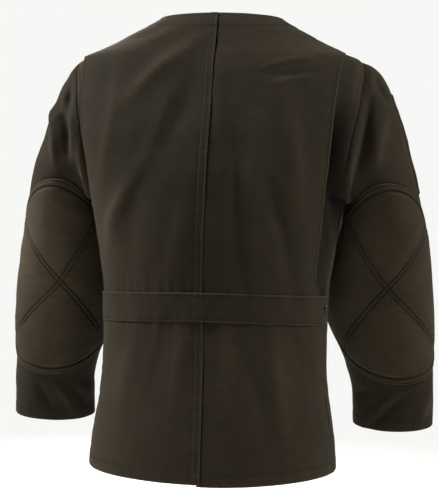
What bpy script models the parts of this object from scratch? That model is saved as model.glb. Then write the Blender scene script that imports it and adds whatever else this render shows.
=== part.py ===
"""Shooting jacket: collarless and hip length, with an action back, a waist belt and quilted elbow pads.

The tables and functions below work in millimetres, and the meshes are written in metres, +Z up.
The back faces +Y, the fronts face -Y and the wearer's left is +X.
The origin is the middle of the neck base, where the wearer's shoulders hold the jacket up.
"""
import math
from collections import namedtuple

import bmesh
import bpy
import numpy as np
from mathutils import Vector

MM = 0.001
RIGHT_ANGLE = math.pi / 2
LEFT, RIGHT = 1, -1

# Cloth and seams
CLOTH = 2.0            # wall of heavy cotton duck with its turnings
SEAM_INSET = 0.2       # each panel stops this far short of its seam
LAYER_GAP = 0.4        # between a panel and what lies on it
BELT_SEAT = 0.6        # between the back panels and the belt
BELT_PAST_SEAM = 3.0   # the belt's ends run this far past the side seams
ARMHOLE_GAP = 0.6      # between the armhole and the sleeve head

# Body heights
ARMHOLE_TOP, ARMHOLE_BOTTOM = -70.0, -292.0
ARMHOLE_BACK, ARMHOLE_FRONT = 61.0, 56.0     # reach of the armhole behind and before the side
ARMHOLE_EGG = 0.42                           # how much wider the armhole is at its foot
BELT_TOP, BELT_FOOT = -446.0, -488.0
BELT_TOP_SLOPE, BELT_FOOT_SLOPE = 4.0, 7.0   # the belt sinks this much towards the sides
HEM = -729.0
HEM_BACK_DROP, HEM_FRONT_DROP = 6.0, 3.0
RIGHT_HEM_DROP = 3.0                         # the right back panel hangs lower at the centre seam
SIDE_SEAM_BACK = 34.0                        # the side seam lies this far behind the side

# Centre back seam: the left panel laps the right in a stitched fell
FELL_WIDTH, FELL_RISE, FELL_SLOPE = 12.0, 1.1, 1.5

# Fronts: a V neck over a buttoned lap
NECK_HALF_WIDTH = 99.0
V_FOOT = -236.0
LAP, LAP_STEP, LAP_SEAT = 17.0, 14.0, 1.2    # half the lap, the step beside it, and its looseness
BUTTON_RADIUS, BUTTON_HEIGHT, BUTTON_RIM = 9.5, 3.4, 1.0
BUTTON_HEIGHTS = (-262.0, -352.0, -442.0, -532.0, -622.0)

# Neck facing: the inside band that stands just above the back neck edge
FACING_HALF_WIDTH, FACING_DEPTH, FACING_STAND = 62.0, 28.0, 1.6

# Gussets under the free edges of the action back
GUSSET_UNDERLAP = 42.0
GUSSET_RECESS, GUSSET_RISE = 5.0, 9.0
GUSSET_DIP = {LEFT: 4.0, RIGHT: 24.0}
GUSSET_FLOOR = 0.2     # share of the open gusset that stays deep beside the free edge
GUSSET_DIP_HEIGHT, GUSSET_DIP_REACH = -230.0, 120.0

# Elbow pads: quilted ovals with a sewn border and a sewn cross
PAD_CENTRE_ANGLE = {LEFT: math.radians(87), RIGHT: math.radians(78)}
PAD_CENTRE_HEIGHT = -434.0
PAD_HALF_WIDTH, PAD_HALF_LENGTH = 124.0, 166.0
PAD_EDGE, PAD_LOFT, PAD_SEAT = 2.4, 6.0, 1.2
PAD_BORDER, PAD_ROLL = 0.93, 0.16  # the sewn border, and the roll inside it, as shares of the oval
PAD_VALLEY = 20.0                  # the padding rises this far from a sewn line
CROSS_ANGLE = math.radians(53)

# Plain patch on the right upper arm, and the press stud at the right end of the belt
PATCH_TOP, PATCH_FOOT = -124.0, -280.0
PATCH_FROM_ANGLE, PATCH_TO_ANGLE = math.radians(-66), math.radians(14)
PATCH_CLOTH, PATCH_SEAT = 1.8, 0.95
STUD_RADIUS, STUD_HEIGHT, STUD_RIM = 6.0, 2.6, 0.9
STUD_FROM_SEAM = 9.0

# Grid counts
ARMHOLE_STEPS = 12     # rows of the body and columns of the sleeve in half an armhole
BACK_COLUMNS, FRONT_COLUMNS, GUSSET_COLUMNS = 12, 12, 6
PAD_RINGS = (0.12, 0.26, 0.4, 0.54, 0.68, 0.8, 0.91, 0.94, 1.0)
PAD_SPOKES = 40
PATCH_COLUMNS, PATCH_ROWS = 10, 11
FACING_COLUMNS = 13

BodyRow = namedtuple("BodyRow", "z half_width back front square")
BODY = (
    BodyRow(15, 90, 54, 48, 2.00),
    BodyRow(0, 99, 58, 52, 2.00),
    BodyRow(-12, 117, 65, 57, 2.05),
    BodyRow(-26, 143, 73, 63, 2.10),
    BodyRow(-43, 174, 82, 70, 2.15),
    BodyRow(-56, 202, 89, 75, 2.20),
    BodyRow(-70, 229, 97, 82, 2.25),
    BodyRow(-90, 237, 106, 89, 2.30),
    BodyRow(-135, 238, 120, 102, 2.45),
    BodyRow(-210, 227, 138, 116, 2.60),
    BodyRow(-292, 208, 149, 123, 2.45),
    BodyRow(-345, 198, 150, 123, 2.40),
    BodyRow(-400, 190, 145, 121, 2.30),
    BodyRow(-446, 184, 140, 119, 2.25),
    BodyRow(-490, 183, 140, 120, 2.20),
    BodyRow(-560, 183, 147, 124, 2.20),
    BodyRow(-610, 186, 154, 127, 2.20),
    BodyRow(-650, 193, 159, 129, 2.20),
    BodyRow(-690, 199, 164, 131, 2.20),
    BodyRow(-745, 203, 168, 134, 2.20),
)

# Where the centre back seam and the two free edges run, measured across the body
BackRow = namedtuple("BackRow", "z seam left right")
BACK_LINES = (
    BackRow(15, 0, 224, 207),
    BackRow(-50, 0, 222, 205),
    BackRow(-86, 1, 219, 198),
    BackRow(-140, 1, 220, 191),
    BackRow(-210, 3, 217, 185),
    BackRow(-300, 5, 204, 176),
    BackRow(-387, 7, 184, 168),
    BackRow(-420, 7, 179, 165),
    BackRow(-446, 7, 177, 172),
    BackRow(-470, 6, 180, 180),
    BackRow(-560, 3, 180, 180),
    BackRow(-745, 2, 180, 180),
)

# Sleeve rings below the armhole: inner and outer sides of each arm, the middle and half depth
# from back to front, and the lean of the ring
SleeveRow = namedtuple("SleeveRow", "z left_in left_out right_in right_out y half_depth lean")
SLEEVE = (
    SleeveRow(-305, 201, 328, 201, 334, -56, 84, 0.05),
    SleeveRow(-345, 196, 334, 194, 340, -71, 81, 0.10),
    SleeveRow(-390, 184, 344, 178, 346, -90, 76, 0.14),
    SleeveRow(-437, 172, 353, 166, 351, -106, 69, 0.18),
    SleeveRow(-487, 183, 360, 179, 355, -120, 62, 0.21),
    SleeveRow(-530, 203, 364, 197, 358, -130, 56, 0.23),
    SleeveRow(-570, 221, 367, 213, 362, -138, 51, 0.25),
    SleeveRow(-620, 230, 370, 225, 364, -147, 46, 0.25),
    SleeveRow(-673, 230, 371, 228, 365, -157, 43, 0.25),
)
SLEEVE_HEAD_STEPS = (0.0, 0.1, 0.22, 0.36, 0.52, 0.68, 0.84)
SLEEVE_RING_STEPS = 14
HEAD_PULL = 0.65       # how far the sleeve head stands out before it turns down

# Folds run from one point to another as seen from behind; a negative height is a trough
Fold = namedtuple("Fold", "x0 z0 x1 z1 width height")
BACK_FOLDS = (
    Fold(67, -31, 157, -70, 14, 2.0),
    Fold(43, -65, 122, -140, 16, 2.2),
    Fold(40, -150, 128, -330, 18, 2.4),
    Fold(139, -301, 157, -369, 13, 3.2),
    Fold(-28, -155, -49, -301, 16, -2.6),
    Fold(-49, -301, -61, -427, 14, -2.6),
    Fold(-95, -281, -132, -440, 15, -2.8),
    Fold(29, -502, 43, -613, 12, 3.0),
    Fold(-69, -559, -100, -661, 15, -3.0),
    Fold(-133, -503, -155, -562, 13, -2.6),
)
LEFT_SLEEVE_FOLDS = (
    Fold(252, -146, 272, -196, 13, 3.4),
    Fold(272, -196, 248, -252, 12, 3.0),
    Fold(345, -556, 300, -640, 12, -3.6),
    Fold(280, -590, 232, -640, 12, 3.0),
)
RIGHT_SLEEVE_FOLDS = (
    Fold(252, -100, 272, -135, 12, -3.2),
    Fold(350, -566, 272, -650, 13, 3.6),
    Fold(330, -605, 262, -668, 11, -3.0),
)

# Base colours, linear: olive brown duck, its darker pads, the inside, and the hard trim
DUCK = (0.031, 0.026, 0.018)
PAD_DUCK = (0.026, 0.022, 0.015)
FACING_TWILL = (0.016, 0.013, 0.009)
PATCH_SUEDE = (0.040, 0.024, 0.014)
HORN = (0.020, 0.014, 0.010)
BRASS = (0.16, 0.13, 0.09)


def smooth_curve(table, column):
    """Read one column of a table at any height, on a cubic that never overshoots its rows."""
    rows = sorted(table)
    z = np.array([row.z for row in rows], dtype=float)
    value = np.array([getattr(row, column) for row in rows], dtype=float)
    step = np.diff(z)
    rise = np.diff(value) / step
    slope = np.zeros(len(z))
    slope[0], slope[-1] = rise[0], rise[-1]
    both = rise[:-1] * rise[1:]
    total = np.where(both > 0, rise[:-1] + rise[1:], 1.0)
    slope[1:-1] = np.where(both > 0, 2.0 * both / total, 0.0)

    def read(at):
        at = np.clip(at, z[0], z[-1])
        i = np.clip(np.searchsorted(z, at) - 1, 0, len(step) - 1)
        t = (at - z[i]) / step[i]
        return ((1 + 2 * t) * (1 - t) ** 2 * value[i] + t * (1 - t) ** 2 * step[i] * slope[i]
                + t * t * (3 - 2 * t) * value[i + 1] - t * t * (1 - t) * step[i] * slope[i + 1])

    return read


body = {column: smooth_curve(BODY, column) for column in BodyRow._fields[1:]}
back_line = {column: smooth_curve(BACK_LINES, column) for column in BackRow._fields[1:]}
sleeve = {column: smooth_curve(SLEEVE, column) for column in SleeveRow._fields[1:]}


def unit(vector):
    return vector / np.linalg.norm(vector, axis=-1, keepdims=True)


def ease(value):
    """Go smoothly from 0 to 1."""
    t = np.clip(value, 0.0, 1.0)
    return t * t * (3 - 2 * t)


def search(function, target, low, high):
    """Find where a falling function passes the target, for a whole array at once."""
    low = np.full(np.shape(target), float(low))
    high = np.full(np.shape(target), float(high))
    for _ in range(40):
        middle = (low + high) / 2
        above = function(middle) > target
        low = np.where(above, middle, low)
        high = np.where(above, high, middle)
    return (low + high) / 2


def body_point(side, angle, z):
    """A point of the body. The angle is 90 degrees at the centre back and -90 at the centre front."""
    depth = np.where(np.sin(angle) >= 0, body["back"](z), body["front"](z))
    power = body["square"](z)
    radius = ((np.abs(np.cos(angle)) / body["half_width"](z)) ** power
              + (np.abs(np.sin(angle)) / depth) ** power) ** (-1 / power)
    return np.stack([side * radius * np.cos(angle), radius * np.sin(angle), z + 0 * angle], axis=-1)


def body_normal(side, angle, z):
    step_angle, step_z = 0.01, 1.0
    round_body = body_point(side, angle + step_angle, z) - body_point(side, angle - step_angle, z)
    down_body = body_point(side, angle, z - step_z) - body_point(side, angle, z + step_z)
    return unit(np.cross(down_body, round_body)) * side


def angle_at_x(z, x):
    """The angle on the back at which the body is x wide."""
    return search(lambda angle: body_point(LEFT, angle, z)[..., 0], x, 0.0, RIGHT_ANGLE + 0.6)


def angle_at_y(z, y):
    """The angle beside the side seam at which the body is y behind the side."""
    return -search(lambda angle: body_point(LEFT, -angle, z)[..., 1], y, -RIGHT_ANGLE, RIGHT_ANGLE)


def fold_height(folds, x, z):
    """Add up soft ridges and troughs, each strongest at the middle of its run."""
    total = np.zeros(np.broadcast(x, z).shape)
    for fold in folds:
        run = np.array([fold.x1 - fold.x0, fold.z1 - fold.z0], dtype=float)
        length = np.hypot(*run)
        along = ((x - fold.x0) * run[0] + (z - fold.z0) * run[1]) / length
        across = ((x - fold.x0) * run[1] - (z - fold.z0) * run[0]) / length
        past = np.maximum(0, np.maximum(-along, along - length))
        middle = 0.55 + 0.45 * np.sin(np.pi * np.clip(along / length, 0, 1))
        total += fold.height * middle * np.exp(-(across / fold.width) ** 2 - (past / (2 * fold.width)) ** 2)
    return total


def belt_top(angle):
    return BELT_TOP - BELT_TOP_SLOPE * np.cos(angle) ** 2


def belt_foot(angle):
    return BELT_FOOT - BELT_FOOT_SLOPE * np.cos(angle) ** 2


def hem_height(side, angle):
    drop = np.where(np.sin(angle) >= 0, HEM_BACK_DROP, HEM_FRONT_DROP)
    if side == RIGHT:
        drop = drop + RIGHT_HEM_DROP * (np.sin(angle) > 0)
    return HEM - drop * np.sin(angle) ** 2


def armhole_heights():
    turns = np.linspace(0, math.pi, ARMHOLE_STEPS + 1)
    middle, half = (ARMHOLE_TOP + ARMHOLE_BOTTOM) / 2, (ARMHOLE_TOP - ARMHOLE_BOTTOM) / 2
    return middle + half * np.cos(turns)


def armhole_reach(z, reach):
    """How far the armhole reaches behind or before the side at a height."""
    middle, half = (ARMHOLE_TOP + ARMHOLE_BOTTOM) / 2, (ARMHOLE_TOP - ARMHOLE_BOTTOM) / 2
    rise = np.clip((z - middle) / half, -1, 1)
    return reach * np.sqrt(1 - rise ** 2) * (1 - ARMHOLE_EGG * rise)


def side_line(z, reach, sign):
    """The y of the edge beside the side: shoulder seam, armhole, then side seam."""
    seam = SIDE_SEAM_BACK * ease((ARMHOLE_BOTTOM - z) / 110.0)
    return np.where(z > ARMHOLE_BOTTOM, sign * armhole_reach(z, reach), seam)


def turn_from(angle, distance, z):
    """Move round the body by a distance measured on the cloth."""
    across = np.linalg.norm(body_point(LEFT, angle + 0.01, z) - body_point(LEFT, angle, z), axis=-1) / 0.01
    return angle + distance / across


def body_rows(first):
    """Heights of the body's rows, from the first down to the belt, as functions of the angle."""
    shoulder = [first] + [height for height in (-12.0, -26.0, -43.0, -56.0) if height < first]
    rows = [lambda angle, h=h: h + 0 * angle for h in shoulder]
    rows += [lambda angle, h=h: h + 0 * angle for h in armhole_heights()]
    for part in (0.3, 0.62):
        rows.append(lambda angle, part=part: ARMHOLE_BOTTOM + part * (belt_top(angle) - ARMHOLE_BOTTOM))
    rows += [belt_top, belt_foot]
    return rows


def skirt_rows(side, steps):
    """Heights of the rows from the belt's foot to the hem."""
    return [lambda angle, part=part: belt_foot(angle) + part * (hem_height(side, angle) - belt_foot(angle))
            for part in np.linspace(0, 1, steps + 1)[1:]]


def lift_back(side, point):
    """How far the back cloth stands off the plain body: folds, and the fell beside the seam."""
    x, z = point[..., 0], point[..., 2]
    away = np.minimum(ease((-z) / 30.0), 1.0)
    lift = fold_height(BACK_FOLDS, x, z) * away
    if side == LEFT:
        past_seam = x - back_line["seam"](z)
        lift = lift + FELL_RISE * (1 - ease((past_seam - FELL_WIDTH + FELL_SLOPE) / FELL_SLOPE))
    return lift


def skins(point, normal, lift, cloth=CLOTH):
    """An outer grid and an inner grid, one wall apart."""
    outer = point + normal * np.asarray(lift)[..., None]
    return outer, outer - normal * cloth


def side_seam_angle(side, z):
    return angle_at_y(z, np.full(np.shape(z), SIDE_SEAM_BACK))


def back_edge_angle(side, z):
    """The outer edge of a back panel: shoulder seam, then free edge, then side seam."""
    reach = back_line["left" if side == LEFT else "right"](z)
    free = angle_at_x(z, np.minimum(reach, body["half_width"](z) - 0.05))
    return free + (side_seam_angle(side, z) - free) * ease((BELT_TOP + 2 - z) / 20.0)


def back_angles(side, z):
    """Angles of a back panel's columns at a height: seam, fell, then evenly to the edge."""
    seam = side * back_line["seam"](z)
    starts = (SEAM_INSET, 6.0, FELL_WIDTH - FELL_SLOPE, FELL_WIDTH) if side == LEFT else (SEAM_INSET, 12.0)
    near = [angle_at_x(z, seam + start) for start in starts]
    edge = turn_from(back_edge_angle(side, z), SEAM_INSET, z)
    parts = np.linspace(0, 1, BACK_COLUMNS - len(starts) + 2)[1:]
    return near + [near[-1] + (edge - near[-1]) * part for part in parts]


def grid(side, rows, angles_at):
    """Points and normals of a panel: one height function a row, and the row's column angles."""
    point, normal = [], []
    for row in rows:
        angle = np.array(angles_at(row(np.array(RIGHT_ANGLE))))
        for _ in range(2):
            angle = np.diagonal(np.array(angles_at(row(angle))))
        z = row(angle)
        point.append(body_point(side, angle, z))
        normal.append(body_normal(side, angle, z))
    return np.array(point), np.array(normal)


def back_panel(side):
    rows = body_rows(0.0) + skirt_rows(side, 7)
    point, normal = grid(side, rows, lambda z: back_angles(side, z))
    return skins(point, normal, lift_back(side, point))


def waist_belt():
    """The belt follows the points of both back panels, one layer further out, to the side seams."""
    outer, inner = [], []

    def angles_at(side, z):
        return [*back_angles(side, z), turn_from(side_seam_angle(side, z), -BELT_PAST_SEAM, z)]

    for side in (LEFT, RIGHT):
        point, normal = grid(side, (belt_top, belt_foot), lambda z, side=side: angles_at(side, z))
        lift = lift_back(side, point) + CLOTH + BELT_SEAT
        skin = skins(point, normal, lift)
        columns = slice(None, None, -1) if side == LEFT else slice(1, None)
        outer.append(skin[0][:, columns])
        inner.append(skin[1][:, columns])
    return np.concatenate(outer, axis=1), np.concatenate(inner, axis=1)


def gusset_panel(side):
    """The recessed cloth under a free edge, out to the armhole and down to the belt."""
    rows = body_rows(-43.0)

    def angles_at(z):
        edge = back_edge_angle(side, z)
        hidden = turn_from(edge, GUSSET_UNDERLAP, z)
        end = angle_at_y(z, side_line(z, ARMHOLE_BACK, 1))
        end = turn_from(np.minimum(end, edge), SEAM_INSET, z)
        inside = [hidden + (edge - hidden) * part for part in (0.0, 0.5, 1.0)]
        outside = [edge + (end - edge) * part for part in np.linspace(0, 1, GUSSET_COLUMNS - 1)[1:]]
        return inside + outside

    point, normal = grid(side, rows, angles_at)
    z = point[..., 2]
    dip = GUSSET_DIP[side] * np.exp(-((z - GUSSET_DIP_HEIGHT) / GUSSET_DIP_REACH) ** 2)
    open_width = np.linalg.norm(point[:, -1] - point[:, 2], axis=-1)[:, None]
    part = np.clip((np.arange(point.shape[1]) - 2) / (point.shape[1] - 3), 0, 1)
    rise = ease((part - GUSSET_FLOOR) / (1 - GUSSET_FLOOR)) * ease(open_width / GUSSET_RISE)
    return skins(point, normal, -(GUSSET_RECESS + dip * ease(open_width / 30.0)) * (1 - rise))


def front_panel(side):
    """A plain front from the side to the lapped centre, with its half of the V neck."""
    rows = body_rows(-3.0) + skirt_rows(side, 6)

    def angles_at(z):
        start = angle_at_y(z, side_line(z, ARMHOLE_FRONT, -1))
        start = turn_from(start, -SEAM_INSET, z)
        reach = NECK_HALF_WIDTH - (NECK_HALF_WIDTH + LAP) * ease(0.5 * z / V_FOOT) * 2
        reach = np.where(z < V_FOOT, -LAP, reach)
        end = -search(lambda angle: body_point(LEFT, -angle, z)[..., 0], reach, 0.0, RIGHT_ANGLE + 0.6)
        return [start + (end - start) * part for part in np.linspace(0, 1, FRONT_COLUMNS + 1)]

    point, normal = grid(side, rows, angles_at)
    lift = np.zeros(point.shape[:2])
    if side == RIGHT:
        lift = -(CLOTH + LAP_SEAT) * (1 - ease((-point[..., 0] - LAP - 2) / LAP_STEP))
    return skins(point, normal, lift)


def neck_facing():
    """The band inside the back neck, which shows as a thin line above the edge."""
    heights = (FACING_STAND, -FACING_DEPTH / 2, -FACING_DEPTH)
    outer, inner = [], []
    for height in heights:
        z = np.full(FACING_COLUMNS, height)
        across = np.linspace(FACING_HALF_WIDTH, -FACING_HALF_WIDTH, len(z))
        angle = angle_at_x(z, np.abs(across))
        point = body_point(LEFT, angle, z) * np.stack([np.sign(across), 0 * z + 1, 0 * z + 1], axis=-1)
        normal = body_normal(LEFT, angle, z) * np.stack([np.sign(across), 0 * z + 1, 0 * z + 1], axis=-1)
        point[across == 0, 0] = 0.0
        normal[across == 0] = body_normal(LEFT, np.array([RIGHT_ANGLE]), np.array([height]))
        skin = skins(point, normal, -(CLOTH + LAYER_GAP + 0.3) + 0 * z, 1.0)
        outer.append(skin[0])
        inner.append(skin[1])
    return np.array(outer), np.array(inner)


def armhole_point(side, turn):
    """The armhole: 0 at the shoulder, 90 degrees behind, 180 under the arm, 270 in front."""
    middle, half = (ARMHOLE_TOP + ARMHOLE_BOTTOM) / 2, (ARMHOLE_TOP - ARMHOLE_BOTTOM) / 2
    z = middle + half * np.cos(turn)
    reach = np.where(np.sin(turn) >= 0, ARMHOLE_BACK, ARMHOLE_FRONT)
    y = np.sign(np.sin(turn)) * armhole_reach(z, reach)
    point = body_point(side, angle_at_y(z, y), z)
    return point + np.array([side * ARMHOLE_GAP, 0, 0])


def ring_point(side, turn, z):
    """A point of the sleeve below the armhole, on a ring that leans with the arm."""
    across, behind = np.cos(turn), np.sin(turn)
    word = "left" if side == LEFT else "right"
    inner, outer = sleeve[word + "_in"](z), sleeve[word + "_out"](z)
    x = (inner + outer) / 2 + (outer - inner) / 2 * across
    y = sleeve["y"](z) + sleeve["half_depth"](z) * behind
    return np.stack([side * x, y, z - sleeve["lean"](z) * sleeve["half_depth"](z) * behind], axis=-1)


def sleeve_point(side, turn, down):
    """A point of the sleeve: down is 0 at the armhole, 1 at the first ring and 2 at the cuff."""
    top, foot = SLEEVE[0].z, SLEEVE[-1].z
    start, end = armhole_point(side, turn), ring_point(side, turn, top + 0 * turn)
    length = np.linalg.norm(end - start, axis=-1)[..., None]
    out = unit(np.stack([side * (0.9 + 0 * turn), 0.3 * np.sin(turn),
                         -0.43 - 0.15 * (1 - np.cos(turn))], axis=-1))
    fall = unit(ring_point(side, turn, top - 6 + 0 * turn) - ring_point(side, turn, top + 0 * turn))
    t = np.clip(down, 0, 1)[..., None]
    head = ((1 + 2 * t) * (1 - t) ** 2 * start + t * (1 - t) ** 2 * HEAD_PULL * length * out
            + t * t * (3 - 2 * t) * end - t * t * (1 - t) * length * fall)
    lower = ring_point(side, turn, top + (foot - top) * np.clip(down - 1, 0, 1))
    return np.where(t < 1, head, lower)


def sleeve_normal(side, turn, down):
    step_turn, step_down = 0.02, 0.01
    low = np.clip(down - step_down, 0, 2)
    high = np.clip(down + step_down, 0, 2)
    round_arm = sleeve_point(side, turn + step_turn, down) - sleeve_point(side, turn - step_turn, down)
    down_arm = sleeve_point(side, turn, high) - sleeve_point(side, turn, low)
    return unit(np.cross(down_arm, round_arm)) * side


def lift_sleeve(side, turn, point):
    """Folds on the back of the sleeve, and the same ones turned over on its front."""
    x, z = np.abs(point[..., 0]), point[..., 2]
    folds = LEFT_SLEEVE_FOLDS if side == LEFT else RIGHT_SLEEVE_FOLDS
    behind = ease(1.6 * np.sin(turn))
    before = ease(-1.6 * np.sin(turn))
    across = (turn - PAD_CENTRE_ANGLE[side]) * sleeve_radius(z)
    off_pad = ease((np.hypot(across / PAD_HALF_WIDTH, (z - PAD_CENTRE_HEIGHT) / PAD_HALF_LENGTH) - 1.05) / 0.2)
    return fold_height(folds, x, z) * behind * off_pad + 0.7 * fold_height(folds, x, z - 12) * before


def sleeve_grid(side, turn, down):
    point, normal = sleeve_point(side, turn, down), sleeve_normal(side, turn, down)
    return point, normal, lift_sleeve(side, turn, point)


def sleeve_tube(side):
    turns = np.linspace(0, 2 * math.pi, 2 * ARMHOLE_STEPS + 1)[:-1]
    downs = list(SLEEVE_HEAD_STEPS) + list(np.linspace(1, 2, SLEEVE_RING_STEPS + 1))
    down, turn = np.meshgrid(downs, turns, indexing="ij")
    return skins(*sleeve_grid(side, turn, down))


def down_at_height(side, turn, z):
    """How far down the sleeve a height lies, along a line at one turn."""
    return search(lambda down: sleeve_point(side, turn, down)[..., 2], z, 0.05, 2.0)


def on_sleeve(side, turn, z):
    return sleeve_grid(side, turn, down_at_height(side, turn, z))


def quilted_pad(side):
    """An oval on the sleeve: rings and spokes, raised between the sewn border and the sewn cross."""
    spokes = np.linspace(0, 2 * math.pi, PAD_SPOKES + 1)[:-1]
    ring, spoke = np.meshgrid(PAD_RINGS, spokes, indexing="ij")
    return pad_skins(side, ring, spoke)


def pad_skins(side, ring, spoke):
    across = ring * PAD_HALF_WIDTH * np.cos(spoke)
    along = ring * PAD_HALF_LENGTH * np.sin(spoke)
    z = PAD_CENTRE_HEIGHT + along
    turn = PAD_CENTRE_ANGLE[side] - across / sleeve_radius(z)
    point, normal, lift = on_sleeve(side, turn, z)
    inner = point + normal * (lift + PAD_SEAT)[..., None]
    outer = inner + normal * (PAD_EDGE + pad_loft(ring, along, across))[..., None]
    return outer, inner


def sleeve_radius(z):
    """The mean radius of the sleeve at a height."""
    z = np.minimum(z, SLEEVE[0].z)
    return ((sleeve["right_out"](z) - sleeve["right_in"](z)) / 2 + sleeve["half_depth"](z)) / 2


def pad_loft(ring, along, across):
    """Padding stands between the sewn lines and is pressed flat on them."""
    off_border = ease((PAD_BORDER - ring) / PAD_ROLL)
    cross = np.minimum(np.abs(across * math.sin(CROSS_ANGLE) - along * math.cos(CROSS_ANGLE)),
                       np.abs(across * math.sin(CROSS_ANGLE) + along * math.cos(CROSS_ANGLE)))
    off_cross = ease(cross / PAD_VALLEY)
    return PAD_LOFT * off_border * off_cross


def arm_patch():
    """The plain patch on the outer front of the right upper arm."""
    turns = np.linspace(PATCH_FROM_ANGLE, PATCH_TO_ANGLE, PATCH_COLUMNS)
    heights = np.linspace(PATCH_TOP, PATCH_FOOT, PATCH_ROWS)
    z, turn = np.meshgrid(heights, turns, indexing="ij")
    point, normal, lift = on_sleeve(RIGHT, turn, z)
    inner = point + normal * (lift + PATCH_SEAT)[..., None]
    return inner + normal * PATCH_CLOTH, inner


def new_material(name, colour, roughness, metallic=0.0):
    material = bpy.data.materials.new(name)
    material.use_nodes = True
    shader = material.node_tree.nodes["Principled BSDF"]
    shader.inputs["Base Color"].default_value = (*colour, 1.0)
    shader.inputs["Roughness"].default_value = roughness
    shader.inputs["Metallic"].default_value = metallic
    return material


def add_object(collection, name, mesh, material):
    mesh.materials.append(material)
    mesh.shade_smooth()
    mesh.set_sharp_from_angle(angle=math.radians(40))
    thing = bpy.data.objects.new(name, mesh)
    collection.objects.link(thing)
    return thing


def wall_mesh(name, outer, inner, tube=False, disc=False):
    """Close two grids of points into one wall. A tube joins its last column to its first;
    a disc does too, and its first row closes on a middle point."""
    rows, columns = outer.shape[:2]
    points = np.concatenate([outer.reshape(-1, 3), inner.reshape(-1, 3)]) * MM
    inside = rows * columns
    joined = tube or disc
    faces = []
    for r in range(rows - 1):
        for c in range(columns if joined else columns - 1):
            a, b = r * columns + c, r * columns + (c + 1) % columns
            d, e = a + columns, b + columns
            faces += [(a, d, e, b), (a + inside, b + inside, e + inside, d + inside)]
    for r in ((rows - 1,) if disc else (0, rows - 1)):
        for c in range(columns if joined else columns - 1):
            a, b = r * columns + c, r * columns + (c + 1) % columns
            faces.append((a, b, b + inside, a + inside))
    if not joined:
        for r in range(rows - 1):
            for c in (0, columns - 1):
                a, d = r * columns + c, (r + 1) * columns + c
                faces.append((a, d, d + inside, a + inside))
    if disc:
        points = np.concatenate([points, [outer[0].mean(axis=0) * MM], [inner[0].mean(axis=0) * MM]])
        top, bottom = 2 * inside, 2 * inside + 1
        for c in range(columns):
            b = (c + 1) % columns
            faces += [(top, c, b), (bottom, b + inside, c + inside)]
    mesh = bpy.data.meshes.new(name)
    shell = bmesh.new()
    verts = [shell.verts.new(point) for point in points]
    for face in faces:
        shell.faces.new([verts[i] for i in face])
    bmesh.ops.recalc_face_normals(shell, faces=shell.faces)
    if shell.calc_volume(signed=True) < 0:
        bmesh.ops.reverse_faces(shell, faces=shell.faces)
    shell.to_mesh(mesh)
    shell.free()
    return mesh


def round_fastener(collection, name, point, normal, radius, height, rim, material):
    """A round button or stud that stands on the cloth."""
    shape = bmesh.new()
    bmesh.ops.create_cone(shape, cap_ends=True, segments=20, radius1=radius * MM,
                          radius2=(radius - rim) * MM, depth=height * MM)
    mesh = bpy.data.meshes.new(name)
    shape.to_mesh(mesh)
    shape.free()
    thing = add_object(collection, name, mesh, material)
    facing = Vector(normal.tolist())
    thing.rotation_mode = "QUATERNION"
    thing.rotation_quaternion = facing.to_track_quat("Z", "Y")
    thing.location = Vector((point * MM).tolist()) + facing * (height / 2 + LAYER_GAP) * MM
    return thing


def build_jacket():
    for thing in list(bpy.data.objects):
        bpy.data.objects.remove(thing, do_unlink=True)
    jacket = bpy.data.collections.new("shooting_jacket")
    bpy.context.scene.collection.children.link(jacket)

    duck = new_material("cotton_duck", DUCK, 0.9)
    pad = new_material("quilted_duck", PAD_DUCK, 0.9)
    twill = new_material("facing_twill", FACING_TWILL, 0.92)
    suede = new_material("patch_suede", PATCH_SUEDE, 0.95)
    horn = new_material("button_horn", HORN, 0.45)
    brass = new_material("stud_brass", BRASS, 0.4, 1.0)

    def add_wall(name, pair, material, **shape):
        return add_object(jacket, name, wall_mesh(name, *pair, **shape), material)

    for side, word in ((LEFT, "left"), (RIGHT, "right")):
        add_wall("back_" + word, back_panel(side), duck)
        add_wall("gusset_" + word, gusset_panel(side), duck)
        add_wall("front_" + word, front_panel(side), duck)
        add_wall("sleeve_" + word, sleeve_tube(side), duck, tube=True)
        add_wall("elbow_pad_" + word, quilted_pad(side), pad, disc=True)
    add_wall("waist_belt", waist_belt(), duck)
    add_wall("neck_facing", neck_facing(), twill)
    add_wall("arm_patch_right", arm_patch(), suede)

    for number, height in enumerate(BUTTON_HEIGHTS, start=1):
        angle, z = np.array(-RIGHT_ANGLE), np.array(height)
        round_fastener(jacket, f"front_button_{number}", body_point(LEFT, angle, z),
                       body_normal(LEFT, angle, z), BUTTON_RADIUS, BUTTON_HEIGHT, BUTTON_RIM, horn)

    z = np.array((BELT_TOP + BELT_FOOT) / 2 - 2)
    angle = turn_from(side_seam_angle(RIGHT, z), STUD_FROM_SEAM, z)
    normal = body_normal(RIGHT, angle, z)
    seat = body_point(RIGHT, angle, z) + normal * (CLOTH + BELT_SEAT)
    round_fastener(jacket, "belt_stud_right", seat, normal, STUD_RADIUS, STUD_HEIGHT, STUD_RIM, brass)


build_jacket()
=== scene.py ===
"""Dresses the shooting jacket: heavy duck shells with felled and topstitched seams, an action back
over recessed gussets, a waist belt, quilted elbow pads, a patch, buttons and a press stud.

Shapes are worked out in millimetres and written in metres. The back faces +Y, the wearer's left is +X.
"""
import math
from collections import namedtuple

import bpy
import numpy as np
from mathutils import Matrix, Vector, kdtree


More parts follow.
